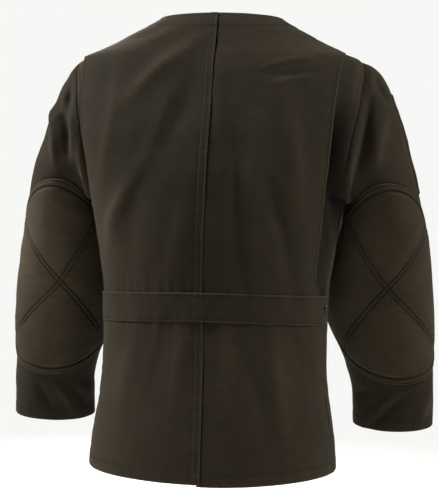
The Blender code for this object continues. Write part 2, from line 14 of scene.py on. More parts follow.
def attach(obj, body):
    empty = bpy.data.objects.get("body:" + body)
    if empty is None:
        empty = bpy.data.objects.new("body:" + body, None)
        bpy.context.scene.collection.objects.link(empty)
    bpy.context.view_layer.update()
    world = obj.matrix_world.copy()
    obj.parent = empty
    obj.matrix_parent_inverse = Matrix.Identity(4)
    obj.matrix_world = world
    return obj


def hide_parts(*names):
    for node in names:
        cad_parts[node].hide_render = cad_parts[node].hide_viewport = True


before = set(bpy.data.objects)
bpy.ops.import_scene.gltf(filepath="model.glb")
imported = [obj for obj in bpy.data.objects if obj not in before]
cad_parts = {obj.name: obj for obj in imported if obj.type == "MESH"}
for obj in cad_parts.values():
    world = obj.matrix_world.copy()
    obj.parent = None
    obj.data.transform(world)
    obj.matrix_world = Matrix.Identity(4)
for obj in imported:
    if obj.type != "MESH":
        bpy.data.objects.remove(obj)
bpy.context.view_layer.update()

MM = 0.001
RIGHT_ANGLE = math.pi / 2
LEFT, RIGHT = 1, -1

# Cloth and sewing
WALL = 2.0                  # the wall of the solids
DUCK_CLOTH, TWILL_CLOTH = 1.5, 1.0          # one layer of heavy duck, and of the neck's twill
STITCH_LENGTH, STITCH_GAP, THREAD = 2.7, 0.9, 0.34   # lockstitch, its gap, and the thread's radius
ROW_PAINTED_SHADE, PAD_ROW_PAINTED_SHADE = 0.42, 0.9          # how much shade a row of stitches paints on the cloth beside it
ROW_SHADE_WIDTH, ROW_SHADE_REACH = 1.5, 4.0     # half the width of that painted shade line, and where it ends
GROOVE = 1.0                # half the width of the groove that a row of stitches pulls in

# The jacket's cut, as in the solids. Heights are from the nape, so those below it are negative
ARMHOLE_TOP, ARMHOLE_BOTTOM = -70.0, -292.0
ARMHOLE_BACK, ARMHOLE_FRONT, ARMHOLE_EGG = 61.0, 56.0, 0.42    # its reach, and how far it is wider below
BELT_TOP, BELT_FOOT, BELT_TOP_SLOPE, BELT_FOOT_SLOPE = -446.0, -488.0, 4.0, 7.0
BELT_STAND, PATCH_STAND = 2.4, 2.4      # how far their outer sides stand off the cloth below
FRONT_SEAT = 1.9            # how much lower the front lies along the shoulder seam
HEM, HEM_BACK_DROP, HEM_FRONT_DROP, RIGHT_HEM_DROP = -729.0, 6.0, 3.0, 3.0
SIDE_SEAM_BACK = 34.0
FELL_WIDTH, FELL_RISE, FELL_UNDERLAP = 12.0, 1.4, 5.0
DITCH = 1.9                 # how far the right back dips beside the fell
NECK_HALF_WIDTH, V_FOOT = 99.0, -236.0
LAP, LAP_STEP, LAP_SEAT = 17.0, 14.0, 1.2
FACING_HALF_WIDTH, FACING_DEPTH, FACING_STAND, FACING_PLAY = 62.0, 28.0, 1.6, 0.3
GUSSET_UNDERLAP, GUSSET_RECESS, GUSSET_RISE = 42.0, 5.0, 9.0
GUSSET_SHOWN = 0.7          # the share of the underlap that a look under the free edge can reach
GUSSET_DIP = {LEFT: 4.0, RIGHT: 24.0}       # how deep its hollow sinks at most, and where
GUSSET_FLOOR, GUSSET_DIP_HEIGHT, GUSSET_DIP_REACH = 0.2, -230.0, 120.0
PAD_CENTRE_ANGLE = {LEFT: math.radians(87), RIGHT: math.radians(78)}
PAD_CENTRE_HEIGHT, PAD_HALF_WIDTH, PAD_HALF_LENGTH = -434.0, 124.0, 166.0
PAD_MEAN_RADIUS = (PAD_HALF_WIDTH + PAD_HALF_LENGTH) / 2
PAD_EDGE, PAD_LOFT, PAD_SEAT, PAD_UNDERSIDE = 2.4, 4.2, 1.2, 0.5
CROSS_ANGLE = math.radians(53)
PATCH_TOP, PATCH_FOOT = -124.0, -280.0
PATCH_FROM_ANGLE, PATCH_TO_ANGLE = math.radians(-66), math.radians(14)
BUTTON_RADIUS, BUTTON_HEIGHT = 9.5, 3.4
BUTTON_HEIGHTS = (-262.0, -352.0, -442.0, -532.0, -622.0)
HOLE_OUT, HOLE_RADIUS, HOLE_DEPTH = 1.7, 1.0, 1.6           # the four holes of a button
THREAD_SPREAD, THREAD_REACH = 0.3, 2.0                      # its bars of thread
STUD_RADIUS, STUD_HEIGHT, STUD_FROM_SEAM, STUD_STAND = 6.0, 2.6, 9.0, 2.6
HEAD_PULL = 0.65            # how far a sleeve's head leaves the armhole before it falls, and which way
HEAD_OUT, HEAD_BACK, HEAD_DOWN, HEAD_UNDER = 0.9, 0.3, -0.43, -0.15
LAYER_GAP = 0.4             # between a layer and what it lies on

# Turnings and the rows of topstitching that hold them, as distances from an edge
HEM_TURN, CUFF_TURN, NECK_TURN = 18.0, 20.0, 28.0
CORNER_ALLOWANCE, SHOULDER_ALLOWANCE = 4.0, 6.0
CUFF_PAINTED_SHADE = {LEFT: 0.4, RIGHT: 0.12}        # how much shade is painted on the cuffs, more on the left
UNDERARM = 6.5              # the fullness that closes the corner under the arm
SEAM_TUCK = (2.5, 8.0)      # how far a sleeve's seam allowance stands out from the arm, and in
EDGE_ROW, BELT_ROW, TRIM_ROW, ARMHOLE_ROWS, FELL_ROWS = 5.0, 4.2, 3.0, (2.6, 8.6), (5.4, 10.8)
PAD_ROWS, CROSS_ROWS = (2.6, 9.6), 3.0
PAD_ROW_DEPTH, CROSS_ROW_DEPTH = 1.3, 1.5
# The heights between which the rows beside the armhole run
LEFT_GUSSET_ROWS_FOOT, ROWS_FOOT, GUSSET_ROWS_TOP, FRONT_ROWS_TOP = -250.0, -285.0, -84.0, -76.0

# Distances from an edge at which the cloth has a column of points, closer where rows are sewn
SEAM_COLUMNS = np.array([0.0, 0.6, 1.2, 1.9, 2.6, 3.3, 4.2, 5.6, 7.0, 7.8, 8.6, 9.4, 10.4, 12.0])
EDGE_COLUMNS = np.array([0.0, 0.5, 1.0, 1.8, 3.0, 4.2, 5.0, 5.8, 6.8, 8.4])
FELL_COLUMNS = np.array([0.0, 0.6, 1.3, 2.2, 3.4, 4.4, 5.4, 6.4,
                         7.6, 9.2, 10.2, 11.0, 11.8, 12.8, 14.4, 16.6])
BELT_COLUMNS = np.array([0.0, 1.2, 2.4, 4.4, 6.4, 9.2, 11.0, 12.8, 14.4])

# The body at each height: half its width, its depth behind and before, and how square it is
BodyRow = namedtuple("BodyRow", "z half_width back front square")
BODY = (
    BodyRow(15, 90, 54, 48, 2.00),
    BodyRow(0, 99, 58, 52, 2.00),
    BodyRow(-12, 117, 65, 57, 2.05),
    BodyRow(-26, 143, 73, 63, 2.10),
    BodyRow(-43, 174, 82, 70, 2.15),
    BodyRow(-56, 202, 89, 75, 2.20),
    BodyRow(-70, 229, 97, 82, 2.25),
    BodyRow(-90, 237, 106, 89, 2.30),
    BodyRow(-135, 238, 120, 102, 2.45),
    BodyRow(-210, 227, 138, 116, 2.60),
    BodyRow(-292, 208, 149, 123, 2.45),
    BodyRow(-345, 198, 150, 123, 2.40),
    BodyRow(-400, 190, 145, 121, 2.30),
    BodyRow(-446, 184, 140, 119, 2.25),
    BodyRow(-490, 183, 140, 120, 2.20),
    BodyRow(-560, 183, 147, 124, 2.20),
    BodyRow(-610, 186, 154, 127, 2.20),
    BodyRow(-650, 193, 159, 129, 2.20),
    BodyRow(-690, 199, 164, 131, 2.20),
    BodyRow(-745, 203, 168, 134, 2.20),
)
# How far from the middle the centre seam and the two free edges run
BackRow = namedtuple("BackRow", "z seam left right")
BACK_LINES = (
    BackRow(15, 0, 224, 207),
    BackRow(-50, 0, 222, 205),
    BackRow(-86, 1, 219, 198),
    BackRow(-140, 1, 220, 191),
    BackRow(-210, 3, 217, 185),
    BackRow(-300, 5, 204, 176),
    BackRow(-387, 7, 184, 168),
    BackRow(-420, 7, 179, 165),
    BackRow(-446, 7, 177, 172),
    BackRow(-470, 6, 180, 180),
    BackRow(-560, 3, 180, 180),
    BackRow(-745, 2, 180, 180),
)
# The arms at each height: the inner and outer side of each, then the y of their middle, half their
# depth, and how steeply their rings lean
SleeveRow = namedtuple("SleeveRow", "z left_in left_out right_in right_out y half_depth lean")
SLEEVE = (
    SleeveRow(-305, 201, 328, 201, 334, -56, 84, 0.05),
    SleeveRow(-345, 196, 334, 194, 340, -71, 81, 0.10),
    SleeveRow(-390, 184, 344, 178, 346, -90, 76, 0.14),
    SleeveRow(-437, 172, 353, 166, 351, -106, 69, 0.18),
    SleeveRow(-487, 183, 360, 179, 355, -120, 62, 0.21),
    SleeveRow(-530, 203, 364, 197, 358, -130, 56, 0.23),
    SleeveRow(-570, 221, 367, 213, 362, -138, 51, 0.25),
    SleeveRow(-620, 230, 370, 225, 364, -147, 46, 0.25),
    SleeveRow(-673, 230, 371, 228, 365, -157, 43, 0.25),
)

# Creases, each from one point to another as seen from behind. A negative height is a trough, and the
# bow bends it sideways at its middle
Crease = namedtuple("Crease", "x0 z0 x1 z1 width height bow")
BACK_CREASES = (
    Crease(67, -31, 157, -70, 13, 4.0, 4),
    Crease(43, -65, 122, -140, 15, 4.8, -5),
    Crease(20, -95, 96, -250, 28, -5.2, 10),
    Crease(60, -150, 148, -330, 18, 4.6, 8),
    Crease(96, -245, 120, -400, 20, -2.8, -6),
    Crease(139, -301, 157, -369, 12, 3.6, -3),
    Crease(150, -95, 172, -260, 14, 3.0, 5),
    Crease(34, -300, 52, -420, 18, 2.2, 4),
    Crease(-28, -155, -49, -301, 17, -3.4, 5),
    Crease(-14, -110, -28, -240, 14, 1.8, -3),
    Crease(-49, -301, -61, -427, 17, -3.0, -4),
    Crease(-84, -180, -70, -400, 20, 2.6, -6),
    Crease(-95, -281, -132, -440, 14, -4.4, 6),
    Crease(-120, -130, -138, -300, 15, 3.2, 5),
    Crease(-78, -92, -152, -74, 5, 1.6, 3),
    Crease(-84, -104, -150, -96, 5, -1.4, -3),
    Crease(-96, -118, -160, -104, 6, 1.3, 2),
    Crease(29, -502, 43, -613, 13, 2.4, -3),
    Crease(60, -500, 78, -590, 14, -2.2, 3),
    Crease(110, -505, 132, -640, 15, 2.4, -4),
    Crease(-30, -500, -40, -600, 12, 2.6, 3),
    Crease(-69, -559, -100, -661, 16, -3.4, 4),
    Crease(-133, -503, -155, -562, 14, -3.2, 0),
    Crease(-108, -500, -128, -640, 13, 3.0, -4),
)
FRONT_CREASES = (
    Crease(60, -255, 150, -180, 13, -3.4, 5),
    Crease(72, -330, 165, -300, 12, 3.0, -6),
    Crease(95, -420, 120, -560, 13, -3.6, 5),
    Crease(45, -500, 60, -640, 12, 3.0, -4),
    Crease(150, -480, 165, -600, 12, 3.2, 3),
    Crease(110, -90, 90, -230, 14, 2.8, -5),
)
# Where a sleeve's outer side stands out or falls in: side, height, half the run, how far.
Stance = namedtuple("Stance", "side z run out")
STANCES = (
    Stance(LEFT, -165, 72, -9.0),
    Stance(RIGHT, -96, 30, 5.5),
    Stance(RIGHT, -225, 60, -3.5),
)
LEFT_SLEEVE_CREASES = (
    Crease(256, -92, 242, -150, 10, -4.6, 3),
    Crease(246, -100, 264, -160, 9, 4.6, 3),
    Crease(262, -150, 238, -222, 9, -10.5, 5),
    Crease(284, -150, 262, -236, 9, 8.5, 5),
    Crease(236, -160, 232, -230, 7, 4.0, 0),
    Crease(352, -545, 306, -640, 11, -7.0, 3),
    Crease(322, -560, 262, -655, 10, 5.0, 3),
    Crease(285, -580, 232, -640, 10, 6.4, 0),
    Crease(262, -600, 236, -655, 8, -5.4, 0),
)
RIGHT_SLEEVE_CREASES = (
    Crease(250, -96, 272, -134, 8, -6.5, 3),
    Crease(268, -90, 292, -136, 8, 4.0, 3),
    Crease(240, -150, 226, -246, 10, -13.0, -3),
    Crease(268, -170, 252, -250, 11, 6.0, 3),
    Crease(300, -130, 322, -200, 14, 3.0, 4),
    Crease(352, -560, 268, -652, 11, 6.5, 3),
    Crease(334, -600, 262, -668, 9, -6.0, 2),
    Crease(300, -560, 244, -610, 10, -4.5, 3),
    Crease(360, -600, 340, -660, 9, 3.8, 0),
)


# Sizes read from the tables, and the plain body
def smooth_curve(table, column):
    """Read one column of a table at any height, on a cubic that never overshoots its rows."""
    rows = sorted(table)
    z = np.array([row.z for row in rows], dtype=float)
    value = np.array([getattr(row, column) for row in rows], dtype=float)
    step = np.diff(z)
    rise = np.diff(value) / step
    slope = np.zeros(len(z))
    slope[0], slope[-1] = rise[0], rise[-1]
    both = rise[:-1] * rise[1:]
    total = np.where(both > 0, rise[:-1] + rise[1:], 1.0)
    slope[1:-1] = np.where(both > 0, 2.0 * both / total, 0.0)

    def read(at):
        at = np.clip(at, z[0], z[-1])
        i = np.clip(np.searchsorted(z, at) - 1, 0, len(step) - 1)
        t = (at - z[i]) / step[i]
        return ((1 + 2 * t) * (1 - t) ** 2 * value[i] + t * (1 - t) ** 2 * step[i] * slope[i]
                + t * t * (3 - 2 * t) * value[i + 1] - t * t * (1 - t) * step[i] * slope[i + 1])

    return read


body = {column: smooth_curve(BODY, column) for column in BodyRow._fields[1:]}
back_line = {column: smooth_curve(BACK_LINES, column) for column in BackRow._fields[1:]}
sleeve = {column: smooth_curve(SLEEVE, column) for column in SleeveRow._fields[1:]}


def unit(vector):
    """A way of length one."""
    return vector / np.maximum(np.linalg.norm(vector, axis=-1, keepdims=True), 1e-9)


def ease(value):
    """Go smoothly from 0 to 1."""
    t = np.clip(value, 0.0, 1.0)
    return t * t * (3 - 2 * t)


def dent(distance, width):
    """A soft groove's profile: 1 on the line and 0 away from it."""
    return np.exp(-(distance / width) ** 2)


def search(function, target, low, high):
    """Find where a falling function passes the target, for a whole array at once."""
    low = np.full(np.shape(target), float(low))
    high = np.full(np.shape(target), float(high))
    for _ in range(30):
        middle = (low + high) / 2
        above = function(middle) > target
        low = np.where(above, middle, low)
        high = np.where(above, high, middle)
    return (low + high) / 2


def swells(a, b, size, seed):
    """Uneven soft swells over a surface, about one high, whose size is in mm."""
    total = 0
    for n in range(8):
        turn = 2.4 * n + seed
        wave = size * (0.65 + 0.14 * ((n * 5 + seed * 3) % 7))
        total = total + np.sin(2 * math.pi * (a * math.cos(turn) + b * math.sin(turn)) / wave
                               + 1.7 * n * n + seed)
    return total / 8 ** 0.5


def pucker(along, size, seed):
    """Uneven small waves along a seam."""
    return (np.sin(2 * math.pi * along / size + seed) * 0.6
            + np.sin(2 * math.pi * along / (size * 1.63) + 2 * seed) * 0.5
            + np.sin(2 * math.pi * along / (size * 0.71) + 3 * seed) * 0.3)


def crease_height(creases, x, z):
    """Add up soft ridges and troughs, steeper on one side and strongest at the middle of their run."""
    total = np.zeros(np.broadcast(x, z).shape)
    for crease in creases:
        run = np.array([crease.x1 - crease.x0, crease.z1 - crease.z0], dtype=float)
        length = np.hypot(*run)
        along = ((x - crease.x0) * run[0] + (z - crease.z0) * run[1]) / length
        part = np.clip(along / length, 0, 1)
        across = ((x - crease.x0) * run[1] - (z - crease.z0) * run[0]) / length
        across = across - crease.bow * np.sin(math.pi * part)
        t = across / crease.width
        past = np.maximum(0, np.maximum(-along, along - length))
        middle = 0.55 + 0.45 * np.sin(math.pi * part)
        shape = np.exp(-t ** 2) * (1 - 0.45 * np.tanh(1.5 * t))
        total += crease.height * middle * shape * np.exp(-(past / (2 * crease.width)) ** 2)
    return total


def body_point(side, angle, z):
    """A point of the body. The angle is 90 degrees at the centre back and -90 at the centre front."""
    depth = np.where(np.sin(angle) >= 0, body["back"](z), body["front"](z))
    power = body["square"](z)
    radius = ((np.abs(np.cos(angle)) / body["half_width"](z)) ** power
              + (np.abs(np.sin(angle)) / depth) ** power) ** (-1 / power)
    return np.stack([side * radius * np.cos(angle), radius * np.sin(angle), z + 0 * angle], axis=-1)


def body_normal(side, angle, z):
    """The way out of the body."""
    step_angle, step_z = 0.01, 1.0
    round_body = body_point(side, angle + step_angle, z) - body_point(side, angle - step_angle, z)
    down_body = body_point(side, angle, z - step_z) - body_point(side, angle, z + step_z)
    return unit(np.cross(down_body, round_body)) * side


def angle_at_x(z, x):
    """The angle on the back at which the body is x wide."""
    return search(lambda angle: body_point(LEFT, angle, z)[..., 0], x, 0.0, RIGHT_ANGLE + 0.6)


def angle_at_y(z, y):
    """The angle beside the side seam at which the body is y behind the side."""
    return -search(lambda angle: body_point(LEFT, -angle, z)[..., 1], y, -RIGHT_ANGLE, RIGHT_ANGLE)


def turn_from(angle, distance, z):
    """Move round the body by a distance measured on the cloth."""
    step = 0.01
    across = np.linalg.norm(body_point(LEFT, angle + step, z) - body_point(LEFT, angle, z), axis=-1) / step
    return angle + distance / across


def belt_top(angle):
    """The height of the belt's upper edge, which falls a little toward the sides."""
    return BELT_TOP - BELT_TOP_SLOPE * np.cos(angle) ** 2


def belt_foot(angle):
    """The height of the belt's lower edge."""
    return BELT_FOOT - BELT_FOOT_SLOPE * np.cos(angle) ** 2


def hem_height(side, angle):
    """The height of the hem, lowest at the middle of the back and of the front."""
    drop = np.where(np.sin(angle) >= 0, HEM_BACK_DROP, HEM_FRONT_DROP)
    if side == RIGHT:
        drop = drop + RIGHT_HEM_DROP * (np.sin(angle) > 0)
    return HEM - drop * np.sin(angle) ** 2


def body_height(side, level, angle):
    """The height of a row of cloth: level above the armhole's foot, then spread to the belt and hem."""
    def between(high_level, low_level, high, low):
        part = (high_level - level) / (high_level - low_level)
        return high + part * (low - high)

    z = np.where(level >= ARMHOLE_BOTTOM, level,
                 between(ARMHOLE_BOTTOM, BELT_TOP, ARMHOLE_BOTTOM, belt_top(angle)))
    z = np.where(level < BELT_TOP, between(BELT_TOP, BELT_FOOT, belt_top(angle), belt_foot(angle)), z)
    return np.where(level < BELT_FOOT,
                    between(BELT_FOOT, HEM, belt_foot(angle), hem_height(side, angle)), z)


def armhole_reach(z, reach):
    """How far the armhole reaches behind or before the side at a height."""
    middle, half = (ARMHOLE_TOP + ARMHOLE_BOTTOM) / 2, (ARMHOLE_TOP - ARMHOLE_BOTTOM) / 2
    rise = np.clip((z - middle) / half, -1, 1)
    return reach * np.sqrt(1 - rise ** 2) * (1 - ARMHOLE_EGG * rise)


def side_line(z, reach, sign):
    """The y of the edge beside the side: shoulder seam, armhole, then side seam."""
    seam = SIDE_SEAM_BACK * ease((ARMHOLE_BOTTOM - z) / 110.0)
    return np.where(z > ARMHOLE_BOTTOM, sign * armhole_reach(z, reach), seam)


def corner_allowance(z):
    """How far the panels run on past the armhole's foot, hidden in the sleeve."""
    return CORNER_ALLOWANCE * dent(z - ARMHOLE_BOTTOM - 3, 9)


def side_seam_angle(z):
    """Where the side seam runs at a height."""
    return angle_at_y(z, np.full(np.shape(z), SIDE_SEAM_BACK))


def back_edge_angle(side, z):
    """The outer edge of a back panel: shoulder seam, then free edge, then side seam."""
    reach = back_line["left" if side == LEFT else "right"](z)
    free = angle_at_x(z, np.minimum(reach, body["half_width"](z) - 0.05))
    return free + (side_seam_angle(z) - free) * ease((BELT_TOP + 2 - z) / 20.0)


def back_seam_angle(side, z):
    """Where the centre-back seam runs at a height."""
    return angle_at_x(z, side * back_line["seam"](z))


# Panels: grids of points on the body, with distances along the cloth
class Cloth:
    """A grid of points and normals, with the distances in mm from the grid's four edges. Lift is how far
    the cloth stands off the grid, and the painted shade is how much shade is painted on its colour."""

    def __init__(self, point, normal):
        self.point, self.normal = point, normal
        across = np.linalg.norm(np.diff(point, axis=1), axis=-1)
        down = np.linalg.norm(np.diff(point, axis=0), axis=-1)
        self.start = np.concatenate([np.zeros((len(point), 1)), np.cumsum(across, axis=1)], axis=1)
        self.end = self.start[:, -1:] - self.start
        self.top = np.concatenate([np.zeros((1, point.shape[1])), np.cumsum(down, axis=0)])
        self.foot = self.top[-1:] - self.top
        self.x, self.y, self.z = (point[..., i] for i in range(3))
        self.lift = np.zeros(point.shape[:2])
        self.painted_shade = np.zeros(point.shape[:2])

    def outer(self):
        return self.point + self.normal * self.lift[..., None]


def fine_levels(marks, first, last, step, near=1.1, reach=4.0):
    """Levels from first down to last, a step apart and finer near each mark."""
    levels = list(np.arange(first, last, -step)) + [last]
    for mark in marks:
        levels += list(np.arange(mark - reach, mark + reach, near))
    levels = sorted({round(float(level), 2) for level in levels if last <= level <= first}, reverse=True)
    kept = [levels[0]]
    for level in levels[1:-1]:
        if kept[-1] - level >= 0.7 * near and level - last >= 0.5 * near:
            kept.append(level)
    return np.array(kept + [levels[-1]])


def panel(side, levels, start_offsets, shares, end_offsets, start_angle, end_angle):
    """A grid between two edges. Offsets are distances from an edge, and shares spread what is between."""
    offsets = np.concatenate([start_offsets, np.zeros(shares), end_offsets[::-1]])
    kind = np.repeat((0, 1, 2), (len(start_offsets), shares, len(end_offsets)))
    share = np.zeros(len(offsets))
    share[kind == 1] = np.linspace(0, 1, shares + 2)[1:-1]
    level = np.broadcast_to(levels[:, None], (len(levels), len(offsets)))
    angle = np.full(level.shape, RIGHT_ANGLE)
    for _ in range(4):
        z = body_height(side, level, angle)
        a, b = start_angle(z), end_angle(z)
        way = np.sign(b - a)
        width = np.linalg.norm(body_point(LEFT, a, z) - body_point(LEFT, b, z), axis=-1)
        room = np.minimum(1.0, 0.4 * width / max(start_offsets[-1], end_offsets[-1]))
        near = turn_from(a, way * offsets * room, z)
        far = turn_from(b, -way * offsets * room, z)
        inner_a = turn_from(a, way * start_offsets[-1] * room, z)
        inner_b = turn_from(b, -way * end_offsets[-1] * room, z)
        middle = inner_a + (inner_b - inner_a) * share
        angle = np.where(kind == 0, near, np.where(kind == 2, far, middle))
    z = body_height(side, level, angle)
    return Cloth(body_point(side, angle, z), body_normal(side, angle, z))


def roll_edge(distance, depth=0.8, reach=1.6):
    """A turned edge rolls down towards its underside."""
    return -depth * (1 - ease(distance / reach))


def turning(distance, row, rise=0.45):
    """The doubled cloth between an edge and its row of stitches, and the groove of that row."""
    return rise * (1 - ease((distance - row) / 1.6)) - 0.55 * dent(distance - row, GROOVE)


def seam_side(distance, row=None, rise=0.3):
    """Cloth beside a seam: it dips into the ditch, and a row of topstitching may run beside it."""
    lift = -0.9 * (1 - ease(distance / 2.0))
    if row:
        lift = lift + turning(distance, row, rise)
    return lift


def natural(cloth, seed):
    """The unevenness of heavy cloth that hangs free."""
    return 0.5 * swells(cloth.x, cloth.z, 120, seed) \
        + 0.22 * swells(cloth.x + cloth.y, cloth.z, 38, seed + 1)


def back_lift(side, cloth):
    """Creases, the fell or the ditch beside it, the free edge, and the neck's and hem's turnings."""
    x, z = cloth.x, cloth.z
    lift = crease_height(BACK_CREASES, x, z) * ease(-z / 30.0)
    lift = lift + natural(cloth, 3 if side == LEFT else 5) * ease(-z / 60.0)
    from_seam, edge = cloth.start, cloth.end
    if side == LEFT:
        on_fell = 1 - ease((from_seam - FELL_WIDTH + 1.2) / 1.4)
        lift = lift + FELL_RISE * on_fell - 0.5 * (1 - ease(from_seam / 1.2))
        for row in FELL_ROWS:
            lift = lift - 0.4 * dent(from_seam - row, GROOVE)
        lift = lift + 0.28 * pucker(cloth.top, 13, 1) * np.exp(-np.maximum(from_seam - 10, 0) / 9) \
            * ease(from_seam / 5)
    else:
        from_seam = cloth.start - FELL_UNDERLAP
        lift = lift - DITCH * (1 - ease(from_seam / 3.2))
        lift = lift + 0.24 * pucker(cloth.top, 14, 2) * np.exp(-np.maximum(from_seam, 0) / 10)
    free = ease((-z - 60) / 14) * ease((z - BELT_TOP + 4) / 6)
    lift = lift + free * (turning(edge, EDGE_ROW, 0.7) + roll_edge(edge, 1.0))
    lift = lift + (1 - free) * seam_side(edge, EDGE_ROW)
    lift = lift + 0.3 * pucker(cloth.top, 17, 4) * np.exp(-np.maximum(edge - EDGE_ROW, 0) / 8)
    lift = lift - 0.5 * dent(cloth.top - NECK_TURN, GROOVE) \
        + 0.3 * (1 - ease((cloth.top - NECK_TURN) / 2)) + roll_edge(cloth.top, 0.8)
    lift = lift + turning(cloth.foot, HEM_TURN, 0.4) + roll_edge(cloth.foot, 0.8)
    lift = lift + 0.35 * pucker(cloth.start, 19, side) * np.exp(-np.abs(cloth.foot - HEM_TURN) / 9)
    return lift + belt_gathers(cloth, x)


def belt_gathers(cloth, x):
    """Small gathers above and below the belt, stronger on the wearer's left of the middle."""
    angle = np.arctan2(np.abs(cloth.y), np.abs(x))
    off_belt = np.maximum(cloth.z - belt_top(angle), belt_foot(angle) - cloth.z)
    strength = 0.45 + 0.75 * np.exp(-((x - 75) / 75) ** 2)
    waves = pucker(x + 6 * np.sin(x / 23), 15, 7)
    return strength * 0.8 * waves * np.exp(-np.maximum(off_belt, 0) / 16) * (off_belt > -8)


def back_cloth(side):
    """A back panel from the centre seam to its free edge, neck to hem."""
    levels = np.concatenate([
        fine_levels((-NECK_TURN * 0.45,), 0, -44, 1.2), np.arange(-45.5, -70, -1.6),
        fine_levels((), -70, BELT_TOP + 1, 2.9)[1:],
        np.array([BELT_TOP, -452, -470, -482, BELT_FOOT]),
        fine_levels((HEM + HEM_TURN,), BELT_FOOT - 1.5, HEM + 1.0, 2.9), [HEM]])
    seam = FELL_COLUMNS if side == LEFT else np.concatenate([[-FELL_UNDERLAP, -2.0], FELL_COLUMNS])
    cloth = panel(side, levels, seam, 56, EDGE_COLUMNS,
                  lambda z: back_seam_angle(side, z), lambda z: back_edge_angle(side, z))
    cloth.lift = back_lift(side, cloth)
    return cloth


def gusset_cloth(side):
    """The recessed cloth under a free edge, out to the armhole and down to the belt."""
    levels = np.concatenate([np.arange(-43, -70, -1.8),
                             fine_levels((ARMHOLE_BOTTOM + 5,), -70, BELT_TOP, 3.0, 0.7, 7.0),
                             [-460, -478]])
    underlap = GUSSET_SHOWN * GUSSET_UNDERLAP

    def hidden(z):
        return turn_from(back_edge_angle(side, z), underlap, z)

    def end(z):
        seam = turn_from(angle_at_y(z, side_line(z, ARMHOLE_BACK, 1)), -corner_allowance(z), z)
        return np.minimum(seam, back_edge_angle(side, z))

    cloth = panel(side, levels, np.array([0.0, 3.0]), 30, SEAM_COLUMNS, hidden, end)
    free_edge = body_point(side, back_edge_angle(side, cloth.z), cloth.z)
    edge = np.linalg.norm(cloth.point - free_edge, axis=-1)
    open_width = np.maximum(0, cloth.start[:, -1:] - underlap)
    part = np.clip((cloth.start - underlap) / np.maximum(open_width, 0.5), 0, 1)
    dip = GUSSET_DIP[side] * np.exp(-((cloth.z - GUSSET_DIP_HEIGHT) / GUSSET_DIP_REACH) ** 2)
    rise = ease((part - GUSSET_FLOOR) / (1 - GUSSET_FLOOR)) * ease(open_width / GUSSET_RISE)
    lift = -(GUSSET_RECESS + dip * ease(open_width / 30.0)) * (1 - rise)
    lift = lift + 0.7 * swells(cloth.start, cloth.z * 0.4, 34, 2 + side) * ease(edge / 12) \
        * ease(cloth.end / 16)
    on_body = rise > 0.6
    lift = lift + on_body * seam_side(cloth.end)
    for distance in ARMHOLE_ROWS:
        lift = lift - 0.5 * on_body * dent(cloth.end - distance, GROOVE)
    cloth.lift = lift + 0.25 * pucker(cloth.top, 12, 5) * np.exp(-cloth.end / 12) * ease(cloth.end / 2)
    cloth.painted_shade = 0.9 * ease((-cloth.z - 120) / 90)      # painted shade, deeper downward, where the free edge shades the recess
    return cloth


def front_cloth(side):
    """A plain front from the side to the lapped centre, with its half of the V neck."""
    levels = np.concatenate([
        np.arange(-3, -70, -1.8), fine_levels((ARMHOLE_BOTTOM + 5,), -70, BELT_FOOT, 3.6, 0.7, 7.0),
        fine_levels((HEM + HEM_TURN,), BELT_FOOT - 3, HEM + 1.0, 3.6), [HEM]])

    def start(z):
        under = corner_allowance(z) + SHOULDER_ALLOWANCE * ease((z - ARMHOLE_TOP + 2) / 10)
        return turn_from(angle_at_y(z, side_line(z, ARMHOLE_FRONT, -1)), under, z)

    def end(z):
        reach = NECK_HALF_WIDTH - (NECK_HALF_WIDTH + LAP) * ease(0.5 * z / V_FOOT) * 2
        reach = np.where(z < V_FOOT, -LAP, reach)
        return -search(lambda angle: body_point(LEFT, -angle, z)[..., 0], reach, 0.0, RIGHT_ANGLE + 0.6)

    cloth = panel(side, levels, SEAM_COLUMNS, 44, EDGE_COLUMNS, start, end)
    x = np.abs(cloth.x)
    lift = crease_height(FRONT_CREASES, x, cloth.z) * (1 if side == LEFT else 0.8)
    lift = lift + natural(cloth, 7 + side) * ease((-cloth.z - 3) / 60.0)
    if side == RIGHT:
        lift = lift * ease((-cloth.x - 4) / 20) \
            - (DUCK_CLOTH + LAP_SEAT) * (1 - ease((-cloth.x - LAP - 2) / LAP_STEP))
    lift = lift + seam_side(cloth.start)
    on_shoulder = ease((cloth.z - ARMHOLE_TOP + 2) / 10)
    lift = lift - FRONT_SEAT * on_shoulder * (1 - ease((cloth.start - SHOULDER_ALLOWANCE) / 4))
    for distance in ARMHOLE_ROWS:
        lift = lift - 0.45 * dent(cloth.start - distance, GROOVE)
    lift = lift + turning(cloth.end, EDGE_ROW, 0.5) + roll_edge(cloth.end, 0.9)
    lift = lift + turning(cloth.foot, HEM_TURN, 0.4) + roll_edge(cloth.foot, 0.8) \
        + roll_edge(cloth.top, 0.8)
    cloth.lift = lift + 0.3 * pucker(cloth.start, 19, 2) * np.exp(-np.abs(cloth.foot - HEM_TURN) / 9)
    return cloth


